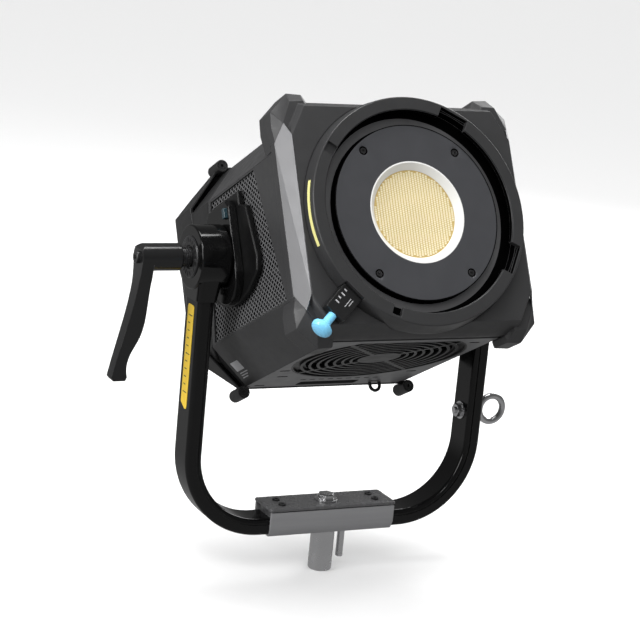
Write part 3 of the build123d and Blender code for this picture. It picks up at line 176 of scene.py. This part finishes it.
# ------------------------------------------------------------------ finishes
SLOT_FINISH = {
    "yoke_black": finish("yoke_coat", grey(0.004), 0.13, shine=0.28, edge_wear_and_highlight=grey(0.05), edge_wear_and_highlight_mm=0.35,
                         grain=1400, bump=0.008),
    "head_black": finish("head_coat", grey(0.036), 0.42, shine=0.4, edge_wear_and_highlight=grey(0.11), grain=1000,
                         bump=0.06),
    "ring_black": finish("ring_anodised", grey(0.030), 0.36, shine=0.5, edge_wear_and_highlight=grey(0.12), grain=1600,
                         bump=0.03),
    "trim_grey": finish("trim_satin", grey(0.155), 0.36, metallic=0.3, mottle=0.06, edge_wear_and_highlight=grey(0.28),
                        grain=1400, bump=0.02),
    "mesh_black": finish("mesh_coat", grey(0.10), 0.40, edge_wear_and_highlight=grey(0.2)),
    "plastic_black": finish("moulded_black", grey(0.004), 0.36, shine=0.22, edge_wear_and_highlight=grey(0.03), grain=700,
                            bump=0.06),
    "rubber_black": finish("rubber", grey(0.010), 0.72, shine=0.25, grain=800, bump=0.1),
    "blue": finish("blue_plastic", (0.22, 0.64, 0.95), 0.26, mottle=0.05, edge_wear_and_highlight=(0.45, 0.74, 0.96),
                   coat=0.3, grain=500, bump=0.04),
    "latch_blue": finish("latch_plastic", (0.012, 0.032, 0.042), 0.30, mottle=0.06,
                         edge_wear_and_highlight=(0.03, 0.07, 0.09), coat=0.2, grain=500, bump=0.03),
    "label_yellow": finish("yellow_film", (0.88, 0.60, 0.055), 0.42, mottle=0.05, grain=600, bump=0.03,
                           shine=0.3),
    "white": finish("white_reflector", (0.80, 0.80, 0.78), 0.34, mottle=0.02, bump=0.02),
    # glow gives the phosphor a faint painted glow; the chips are not switched on.
    "phosphor": finish("phosphor", (0.54, 0.39, 0.14), 0.35, mottle=0.05, grain=900, bump=0.04,
                       glow=0.05),
    "board": finish("circuit_board", (0.03, 0.16, 0.08), 0.35, grain=900),
    "steel": finish("zinc_steel", (0.62, 0.62, 0.63), 0.24, metallic=1.0, mottle=0.08,
                    edge_wear_and_highlight=(0.85, 0.85, 0.86), grain=1300, bump=0.03),
    "black_steel": finish("black_oxide", grey(0.035), 0.30, metallic=0.6, edge_wear_and_highlight=grey(0.30), grain=1200),
    "bronze": finish("bronze", (0.50, 0.34, 0.17), 0.38, metallic=1.0),
    "fin_metal": finish("bare_aluminium", (0.42, 0.42, 0.43), 0.38, metallic=1.0,
                        stretch=(1, 1, 12)),
    "copper": finish("copper", (0.72, 0.40, 0.26), 0.30, metallic=1.0),
}
channel_coat = finish("channel_coat", grey(0.25), 0.32, edge_wear_and_highlight=grey(0.26), grain=1200, bump=0.03,
                      stretch=(0.2, 1, 3))
plate_coat = finish("clamp_plate_coat", grey(0.09), 0.26, edge_wear_and_highlight=grey(0.30), grain=1200, bump=0.03)
hub_gloss = finish("hub_gloss", grey(0.003), 0.11, shine=0.28, edge_wear_and_highlight=grey(0.06), coat=0.12, grain=1500,
                   bump=0.006)
lever_gloss = finish("lever_gloss", grey(0.012), 0.20, shine=0.3, edge_wear_and_highlight=grey(0.10), coat=0.12, grain=1300,
                     bump=0.02)
rear_coat = finish("rear_coat", grey(0.013), 0.42, shine=0.4, edge_wear_and_highlight=grey(0.08), grain=1000, bump=0.06)
# Painted light: the body's downward faces in a lighter grey, standing in for light thrown up from below.
underside_painted_light = finish("underside_painted_light", grey(0.16), 0.40, edge_wear_and_highlight=grey(0.30), grain=1000, bump=0.05)
guard_coat = finish("guard_coat", grey(0.012), 0.40, edge_wear_and_highlight=grey(0.16), grain=1000, bump=0.03)
# Painted shade: near-black for bore walls, counterbores and other deep places that fall in shadow.
bore_painted_shade = finish("bore_painted_shade", grey(0.0012), 0.8, shine=0.0, mottle=0.2, grain=900)
# Painted light: a lighter grey on the ring's floor to offset the shade under its lip.
ring_floor_painted_light = finish("ring_floor_painted_light", grey(0.085), 0.45, shine=0.4, grain=1400, bump=0.03)
stripe_film = finish("stripe_film", (0.74, 0.70, 0.28), 0.40, mottle=0.05, grain=600, bump=0.02,
                     shine=0.3)
block_coat = finish("block_coat", grey(0.009), 0.38, edge_wear_and_highlight=grey(0.14), grain=900, bump=0.04)
plate_satin = finish("plate_satin", (0.047, 0.048, 0.053), 0.40, edge_wear_and_highlight=grey(0.13), grain=1500,
                     bump=0.02)
NODE_FINISH = {
    "bracket_channel": channel_coat, "bracket_top_plate": plate_coat,
    "hub_left": hub_gloss, "hub_right": hub_gloss, "clamp_lever": lever_gloss,
    "rear_housing": rear_coat,
    "led_plate": plate_satin, "lock_block": block_coat, "fan_grille": guard_coat,
    "ring_mark": stripe_film,
}
# glow gives the dies a faint painted glow; the chips are not switched on.
die_cream = finish("die_cream", (0.80, 0.73, 0.50), 0.34, mottle=0.08, grain=900, bump=0.03,
                   glow=0.05)
# Painted shade: near-black walls inside the side mesh's holes.
mesh_hole_painted_shade = finish("mesh_hole_painted_shade", grey(0.004), 0.6, shine=0.1)
print_ink = finish("print_ink", grey(0.02), 0.45, shine=0.3, grain=700)
label_white = finish("label_white", grey(0.45), 0.40, mottle=0.04, grain=700)


def finish_of(node):
    return NODE_FINISH.get(node, SLOT_FINISH[slot_of_node[node]])


# ------------------------------------------------------------------ dressing the CAD nodes
def welded(node):
    """A fresh bmesh of a CAD node with its split corners joined."""
    bm = bmesh.new()
    bm.from_mesh(nodes[node].data)
    bmesh.ops.remove_doubles(bm, verts=bm.verts, dist=0.000002)
    return bm


def soften(bm, width, least_angle=28, segments=2):
    """Merges flat faces, then rounds the hard edges of a bmesh by a width in metres."""
    bmesh.ops.dissolve_limit(bm, angle_limit=radians(0.6), verts=bm.verts, edges=bm.edges,
                             delimit={"MATERIAL"})
    edges = [e for e in bm.edges if len(e.link_faces) == 2
             and e.calc_face_angle(0) > radians(least_angle)]
    if edges:
        bmesh.ops.bevel(bm, geom=edges, offset=width, offset_type="OFFSET", segments=segments,
                        profile=0.6, affect="EDGES", clamp_overlap=False, loop_slide=True)


def as_object(bm, name, materials, smooth_angle=32):
    mesh = bpy.data.meshes.new(name)
    bm.normal_update()
    bm.to_mesh(mesh)
    bm.free()
    for polygon in mesh.polygons:
        polygon.use_smooth = True
    mesh.set_sharp_from_angle(angle=radians(smooth_angle))
    for material in materials:
        mesh.materials.append(material)
    piece = bpy.data.objects.new(name, mesh)
    bpy.context.scene.collection.objects.link(piece)
    return piece


def stands_for(piece, node):
    """A new piece takes a CAD node's body and place."""
    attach(piece, body_of_node[node])
    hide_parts(node)


PLATE_SCREWS = [(sx * 57.3, sz * 69.0) for sx in (-1, 1) for sz in (-1, 1)]
COUNTERBORE_R = 5.2       # takes in a plate screw's counterbore and its rim
PLATE_FRONT_Y = -169.4
PLATE_R = 100.0
RING_FLOOR_Y = -159.5
RING_BORE_R = 115.0
BAYONET_R = 124.0
FLANGE_BACK_Y = -171.0
NOTCH_R = 126.0


def from_beam(place, x=0.0, z=0.0):
    """Distance of a head point from the beam axis, or from a line along it at x, z."""
    return Vector((place.x - x, 0, place.z - LENS_Z - z)).length


def bore_wall(place, facing):
    """A wall of the ring's bore or groove, the back of its lip, or the floor of a notch; these are painted black
    as shade.
    """
    radial = Vector((place.x, 0, place.z - LENS_Z)).normalized()
    turned_in = facing.dot(radial) < -0.5
    inside = RING_BORE_R - 5 < from_beam(place) < NOTCH_R + 1.5
    notch_floor = facing.y < -0.9 and from_beam(place) > BAYONET_R and place.y > FLANGE_BACK_Y - 0.5
    return inside and (turned_in or facing.y > 0.5 or notch_floor)


def bore_floor(place, facing):
    """The flat floor between the ring's bore and the face plate, painted lighter as painted light."""
    return facing.y < -0.9 and abs(place.y - RING_FLOOR_Y) < 0.5


def plate_wall(place, facing):
    """The face plate's outer wall, or a screw's counterbore; these are painted black as shade."""
    side_on = abs(facing.y) < 0.5 and from_beam(place) > PLATE_R - 1.5
    by_screw = any(from_beam(place, x, z) < COUNTERBORE_R for x, z in PLATE_SCREWS)
    return side_on or (by_screw and (abs(facing.y) < 0.5 or place.y > PLATE_FRONT_Y + 0.5))


# Faces turned down, which are painted lighter as painted light from below.
def under_side(place, facing):
    return facing.z < -0.9


# Faces given painted shade (bore walls, plate walls) and painted light (ring floor, underside), as test and
# material.
PAINTED_LIGHT_AND_SHADE = {
    "mount_ring": [(bore_wall, bore_painted_shade), (bore_floor, ring_floor_painted_light)],
    "led_plate": [(plate_wall, bore_painted_shade)],
    "bottom_cover": [(under_side, underside_painted_light)],
}


def dress(node, width):
    """Swaps a CAD node for a copy of itself with softened edges and, on some, faces of painted light and of
    painted shade.
    """
    bm = welded(node)
    to_head = HEAD.inverted()
    turn = to_head.to_3x3().normalized()
    bm.normal_update()
    materials = [finish_of(node)]
    for face in bm.faces:
        face.material_index = 0
    for chosen, extra in PAINTED_LIGHT_AND_SHADE.get(node, []):
        materials.append(extra)
        for face in bm.faces:
            if chosen(to_head @ face.calc_center_median(), turn @ face.normal):
                face.material_index = len(materials) - 1
    if width:
        soften(bm, width * MM)
    piece = as_object(bm, node + "_finished", materials)
    weighted = piece.modifiers.new("even_faces", "WEIGHTED_NORMAL")
    weighted.keep_sharp = True
    stands_for(piece, node)


def recolour(node):
    """Keeps a CAD node's own shape and gives it the detailed finish."""
    data = nodes[node].data
    data.materials.clear()
    data.materials.append(finish_of(node))


EDGE_WIDTHS = {
    "front_bezel": 0.8, "mount_ring": 0.5, "led_plate": 0, "clamp_lever": 0.6,
    "bracket_channel": 0.5, "bracket_top_plate": 0.5, "stand_bolt": 0.5,
    "stand_pin": 0.3, "lock_block": 0.5, "top_cover": 0.5, "bottom_cover": 0.5,
    "side_panel_left": 0.4, "side_panel_right": 0.4, "dovetail_left": 0.5, "dovetail_right": 0.5,
    "cradle_shoe_left": 0.6, "cradle_shoe_right": 0.6, "rear_housing": 1.0, "fan_grille": 0.4,
    "eye_bolt_nut": 0.4, "power_inlet": 0.5, "hub_left": 0.6, "hub_right": 0.6,
}
for name, width in EDGE_WIDTHS.items():
    dress(name, width)
REBUILT = {"side_mesh_left", "side_mesh_right", "led_phosphor", "bezel_trims"}
for name in nodes:
    if name not in EDGE_WIDTHS and name not in REBUILT:
        recolour(name)


# ------------------------------------------------------------------ side mesh
WINDOW = [(-74, 79), (52, 79), (84, -81), (-118, -81)]      # (y, z) in the head
MESH_X = 143.5
MESH_T = 1.2
CELL_Y = 4.0              # half diagonals of a diamond cell
CELL_Z = 3.5
OPENING = 0.66            # size of the hole within its cell
MESH_MARGIN = 2.5         # how far cells may reach past the window's outline
MESH_ROWS = range(-26, 27)
MESH_COLUMNS = range(-18, 14)


def within(outline, y, z, margin):
    """Whether a point is inside a convex outline listed clockwise, grown by a margin."""
    for (y1, z1), (y2, z2) in zip(outline, outline[1:] + outline[:1]):
        edge = Vector((y2 - y1, z2 - z1)).normalized()
        if edge.x * (z - z1) - edge.y * (y - y1) > margin:
            return False
    return True


def mesh_cell(bm, sign, y, z):
    """One diamond of woven sheet: a flat border round a hole with walls."""
    corners = [(CELL_Y, 0), (0, CELL_Z), (-CELL_Y, 0), (0, -CELL_Z)]
    outer = [bm.verts.new((sign * MESH_X, y + a, z + b)) for a, b in corners]
    inner = [bm.verts.new((sign * MESH_X, y + a * OPENING, z + b * OPENING)) for a, b in corners]
    deep = [bm.verts.new((sign * (MESH_X - MESH_T), v.co.y, v.co.z)) for v in inner]
    for i in range(4):
        j = (i + 1) % 4
        bm.faces.new((outer[i], outer[j], inner[j], inner[i]))
        wall = bm.faces.new((inner[i], inner[j], deep[j], deep[i]))
        # the hole's walls take the near-black painted shade
        wall.material_index = 1


def side_mesh(side, sign):
    bm = bmesh.new()
    for row in MESH_ROWS:
        for column in MESH_COLUMNS:
            y = 2 * CELL_Y * column + CELL_Y * (row % 2)
            z = CELL_Z * row
            if within(WINDOW, y, z, MESH_MARGIN):
                mesh_cell(bm, sign, y, z)
    bmesh.ops.remove_doubles(bm, verts=bm.verts, dist=0.05)
    bmesh.ops.recalc_face_normals(bm, faces=bm.faces)
    bmesh.ops.transform(bm, matrix=HEAD, verts=bm.verts)
    piece = as_object(bm, "side_mesh_weave_" + side, [SLOT_FINISH["mesh_black"], mesh_hole_painted_shade])
    stands_for(piece, "side_mesh_" + side)


side_mesh("left", -1)
side_mesh("right", 1)

# ------------------------------------------------------------------ chip array
PHOSPHOR_R = 50.0
PHOSPHOR_Y = -162.5
DIE_PITCH = (3.4, 2.4)    # across and up
DIE_SIZE = (2.4, 2.0)
DIE_RISE = 0.35
DIE_SLOPE = 0.35          # how far a die's top edges draw in
DIE_COLUMNS = range(-14, 15)
DIE_ROWS = range(-20, 21)
DIE_MARGIN = 1.8          # least distance of a die's centre from the array's rim


def raised_die(bm, x, z):
    """One die: a low block with sloping sides."""
    low, top = PHOSPHOR_Y + DIE_RISE, PHOSPHOR_Y
    rings = []
    for y, draw_in in ((low, 0.0), (top, DIE_SLOPE)):
        half_x = DIE_SIZE[0] / 2 - draw_in
        half_z = DIE_SIZE[1] / 2 - draw_in
        rings.append([bm.verts.new((x + sx * half_x, y, z + sz * half_z))
                      for sx, sz in ((-1, -1), (1, -1), (1, 1), (-1, 1))])
    faces = [bm.faces.new(rings[1])]
    for i in range(4):
        j = (i + 1) % 4
        faces.append(bm.faces.new((rings[0][i], rings[0][j], rings[1][j], rings[1][i])))
    for face in faces:
        face.material_index = 1


def chip_array():
    bm = bmesh.new()
    rim = [bm.verts.new((PHOSPHOR_R * cos(a), PHOSPHOR_Y + DIE_RISE, LENS_Z + PHOSPHOR_R * sin(a)))
           for a in [tau * i / 96 for i in range(96)]]
    bm.faces.new(rim)
    for column in DIE_COLUMNS:
        for row in DIE_ROWS:
            x = DIE_PITCH[0] * column
            z = DIE_PITCH[1] * (row + 0.5 * (column % 2))
            if Vector((x, z)).length < PHOSPHOR_R - DIE_MARGIN:
                raised_die(bm, x, LENS_Z + z)
    bmesh.ops.transform(bm, matrix=HEAD, verts=bm.verts)
    bmesh.ops.recalc_face_normals(bm, faces=bm.faces)
    piece = as_object(bm, "chip_array", [SLOT_FINISH["phosphor"], die_cream], 20)
    stands_for(piece, "led_phosphor")


chip_array()

# ------------------------------------------------------------------ painted shade rings in the mount ring
def flat_ring(bm, inner, outer, y, steps=144):
    """A flat annulus about the beam axis, facing the front."""
    loops = [[bm.verts.new((r * cos(tau * i / steps), y, LENS_Z + r * sin(tau * i / steps)))
              for i in range(steps)] for r in (inner, outer)]
    for i in range(steps):
        j = (i + 1) % steps
        bm.faces.new((loops[0][i], loops[1][i], loops[1][j], loops[0][j]))


LEDGE_R = 110.5           # the ring's floor is painted black as shade outside its inner ledge
GAP_W = 1.3               # painted contact shadow between the face plate and the ledge
RIM_W = 0.9               # painted shade on the rim of the face plate
LIFT = 0.06               # how far the painted shade rings stand off the faces they lie on


def ring_well_painted_shade():
    """Black rings of painted shade: the well outside the ledge, the shadow round the plate and the plate's rim."""
    bm = bmesh.new()
    flat_ring(bm, PLATE_R - 0.2, PLATE_R + GAP_W, RING_FLOOR_Y - LIFT)
    flat_ring(bm, LEDGE_R, BAYONET_R - 0.2, RING_FLOOR_Y - LIFT)
    flat_ring(bm, PLATE_R - RIM_W, PLATE_R, PLATE_FRONT_Y - LIFT)
    bmesh.ops.transform(bm, matrix=HEAD, verts=bm.verts)
    piece = as_object(bm, "ring_well_painted_shade", [bore_painted_shade])
    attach(piece, "head")


ring_well_painted_shade()

# ------------------------------------------------------------------ bezel trims
# Corners as (distance back from the front edge, height from the beam axis).
TRIM = [(0.6, -88), (0.6, 88), (10, 104), (24.4, 85), (24.4, -85), (10, -104)]
TRIM_T = 0.9              # how far its edges reach into the chamfer
TRIM_LIFT = (0.5, 1.3, 0.2)           # heights of its front edge, its fold and its rear foot
FACE_EDGE = (136.0, -161.0)           # (x, y) of the bezel's front edge
RIM_EDGE = (148.0, -139.0)


def trim_plate(bm, sign):
    """A six-sided plate on the bezel's side chamfer, folded from its rear top to its front foot."""
    back = Vector((RIM_EDGE[0] - FACE_EDGE[0], RIM_EDGE[1] - FACE_EDGE[1], 0)).normalized()
    outward = Vector((back.y, -back.x, 0))

    def corner(along, z, lift):
        place = Vector((FACE_EDGE[0], FACE_EDGE[1], LENS_Z)) + back * along + outward * lift
        return bm.verts.new((sign * place.x, place.y, place.z + z))

    front, fold, foot = TRIM_LIFT
    lifts = [fold, front, front, fold, foot, foot]
    top = [corner(a, z, lift) for (a, z), lift in zip(TRIM, lifts)]
    low = [corner(a, z, -TRIM_T) for a, z in TRIM]
    bm.faces.new(top[:4])
    bm.faces.new((top[0], top[3], top[4], top[5]))
    for i in range(6):
        j = (i + 1) % 6
        bm.faces.new((top[i], top[j], low[j], low[i]))


def bezel_trims():
    bm = bmesh.new()
    for sign in (-1, 1):
        trim_plate(bm, sign)
    bmesh.ops.recalc_face_normals(bm, faces=bm.faces)
    bmesh.ops.transform(bm, matrix=HEAD, verts=bm.verts)
    soften(bm, 0.25 * MM)
    piece = as_object(bm, "bezel_trims_folded", [SLOT_FINISH["trim_grey"]], 1)
    stands_for(piece, "bezel_trims")


bezel_trims()


# ------------------------------------------------------------------ printed details
def slab(bm, origin, across, up, size, thickness):
    """A thin plate with a corner at origin, along two directions; its face is across x up."""
    out = across.cross(up).normalized() * thickness
    flat = [origin, origin + across * size[0], origin + across * size[0] + up * size[1],
            origin + up * size[1]]
    low = [bm.verts.new(p) for p in flat]
    top = [bm.verts.new(p + out) for p in flat]
    bm.faces.new(top)
    for i in range(4):
        j = (i + 1) % 4
        bm.faces.new((low[i], low[j], top[j], top[i]))


def printed(name, slabs, matrix, body, material):
    """Thin slabs that ride on a body as one piece."""
    bm = bmesh.new()
    for origin, across, up, size, thickness in slabs:
        slab(bm, Vector(origin), Vector(across).normalized(), Vector(up).normalized(), size, thickness)
    bmesh.ops.transform(bm, matrix=matrix, verts=bm.verts)
    piece = as_object(bm, name, [material])
    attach(piece, body)


INK_T = 0.05              # thickness of a printed tick
LEG_FACE_X = -194.9       # face of the yellow strip
TICK_Y = 5.5              # where each tick starts
TICK_Z = 176              # height of the lowest tick
TICK_PITCH = 9
TICK_W = 1.1
LONG_TICK = 11
SHORT_TICK = 6
leg_ticks = []
for i in range(11):
    length = LONG_TICK if i % 5 == 0 else SHORT_TICK
    leg_ticks.append(((LEG_FACE_X, TICK_Y, TICK_Z + TICK_PITCH * i), (0, -1, 0), (0, 0, 1),
                      (length, TICK_W), INK_T))
printed("leg_strip_ticks", leg_ticks, ROW, "yoke", print_ink)

LOCK_ANGLE = radians(-136.4)
BLOCK_FACE_Y = -173.0     # front of the lock block
MARK_T = 0.06
MARK_PITCH = 5.5
lock_out = Vector((cos(LOCK_ANGLE), 0, sin(LOCK_ANGLE)))
lock_side = Vector((-lock_out.z, 0, lock_out.x))
block_face = Vector((0, BLOCK_FACE_Y, LENS_Z))
marks = []
for i in range(4):        # short bars of two lengths, in a row along the pull
    marks.append((block_face + lock_out * (134 + MARK_PITCH * i) + lock_side * -9, lock_out, lock_side,
                  (1.6, 3.5 + 1.5 * (i % 2)), MARK_T))
for i in range(2):        # two thin lines beside them
    marks.append((block_face + lock_out * 138 + lock_side * (3 + 3 * i), lock_out, lock_side,
                  (12 - 4 * i, 0.8), MARK_T))
printed("lock_block_marks", marks, HEAD, "head", label_white)

FACET_DOWN = Vector((0.648, 0, -0.762))       # down the left lower facet of the body
FACET_TOP = Vector((-146.0, 0, -84.0))
ALONG_BODY = (0, 1, 0)
sticker = [(FACET_TOP + FACET_DOWN * 28 + Vector((0, 68, 0)), ALONG_BODY, FACET_DOWN, (20, 13), 0.15)]
printed("facet_sticker", sticker, HEAD, "head", label_white)
bars = [(FACET_TOP + FACET_DOWN * (44 + 3.2 * i) + Vector((0, 66 + 4 * i, 0)), ALONG_BODY, FACET_DOWN,
         (20 - 3 * i, 1.2), 0.12) for i in range(3)]
printed("facet_bars", bars, HEAD, "head", label_white)

# ------------------------------------------------------------------ stage and light
middle = (Vector(cad_box[0]) + Vector(cad_box[1])) / 2


def area_light(name, place, size, power):
    light = bpy.data.lights.new(name, "AREA")
    light.shape = "RECTANGLE"
    light.size, light.size_y = size
    light.energy = power
    lamp = bpy.data.objects.new(name, light)
    bpy.context.scene.collection.objects.link(lamp)
    lamp.location = place
    lamp.rotation_euler = (middle - Vector(place)).to_track_quat("-Z", "Y").to_euler()


def sun_light(name, direction, strength, spread):
    """Broad light for diffuse surfaces; it isn't seen in glossy ones."""
    light = bpy.data.lights.new(name, "SUN")
    light.energy = strength
    light.angle = radians(spread)
    lamp = bpy.data.objects.new(name, light)
    bpy.context.scene.collection.objects.link(lamp)
    lamp.rotation_euler = Vector(direction).to_track_quat("-Z", "Y").to_euler()
    lamp.visible_glossy = False


sun_light("sky_panel", (0.25, 0.30, -1.0), 2.9, 120)
area_light("left_softbox", (-2.4, -0.2, 0.9), (0.9, 1.4), 34)
area_light("upper_left_tube", (-1.6, -1.3, 2.0), (2.2, 0.10), 16)
area_light("top_panel", (0.1, 0.2, 2.5), (1.2, 0.7), 30)
area_light("rear_right_panel", (1.9, 1.3, 1.5), (1.4, 1.4), 26)

FLOOR_GLOW = 0.34         # what the world gives from below and from above
SKY_GLOW = 0.14


def studio_world():
    world = bpy.data.worlds.new("studio")
    world.use_nodes = True
    tree = world.node_tree
    where = add_node(tree, "ShaderNodeTexCoord").outputs["Generated"]
    split = add_node(tree, "ShaderNodeSeparateXYZ")
    tree.links.new(where, split.inputs["Vector"])
    level = remap(tree, split.outputs["Z"], -0.25, 0.05, FLOOR_GLOW, SKY_GLOW)
    background = tree.nodes["Background"]
    background.inputs["Color"].default_value = (1, 1, 1, 1)
    tree.links.new(level, background.inputs["Strength"])
    bpy.context.scene.world = world


studio_world()
bpy.context.scene.view_settings.view_transform = "Standard"

STAGE_R = 30.0


def studio_floor():
    bm = bmesh.new()
    bmesh.ops.create_grid(bm, x_segments=24, y_segments=24, size=STAGE_R)
    paint = finish("floor_paint", (0.90, 0.90, 0.90), 0.8, mottle=0.01, shine=0.2, grain=60, bump=0.1)
    floor = as_object(bm, "studio_floor", [paint])
    floor.location.z = cad_box[0][2]
    floor.visible_diffuse = False
    floor.visible_glossy = False


def studio_backdrop():
    """A white dome that only the camera sees, so that it doesn't light the object."""
    bm = bmesh.new()
    bmesh.ops.create_uvsphere(bm, u_segments=48, v_segments=24, radius=STAGE_R - 1)
    paint = bpy.data.materials.new("backdrop_paint")
    paint.use_nodes = True
    shader = paint.node_tree.nodes["Principled BSDF"]
    shader.inputs["Base Color"].default_value = (0, 0, 0, 1)
    shader.inputs["Emission Color"].default_value = (1, 1, 1, 1)
    shader.inputs["Emission Strength"].default_value = 1.0
    dome = as_object(bm, "studio_backdrop", [paint])
    dome.visible_diffuse = False
    dome.visible_glossy = False
    dome.visible_transmission = False
    dome.visible_shadow = False


studio_floor()
studio_backdrop()

camera_data = bpy.data.cameras.new("camera")
camera_data.sensor_width = 36.0
camera_data.lens = 108.5
camera = bpy.data.objects.new("camera", camera_data)
bpy.context.scene.collection.objects.link(camera)
camera.location = (-1.0348, -1.9537, 0.7651)
camera.rotation_euler = (radians(76.936), radians(-5.283), radians(-25.978))
bpy.context.scene.camera = camera
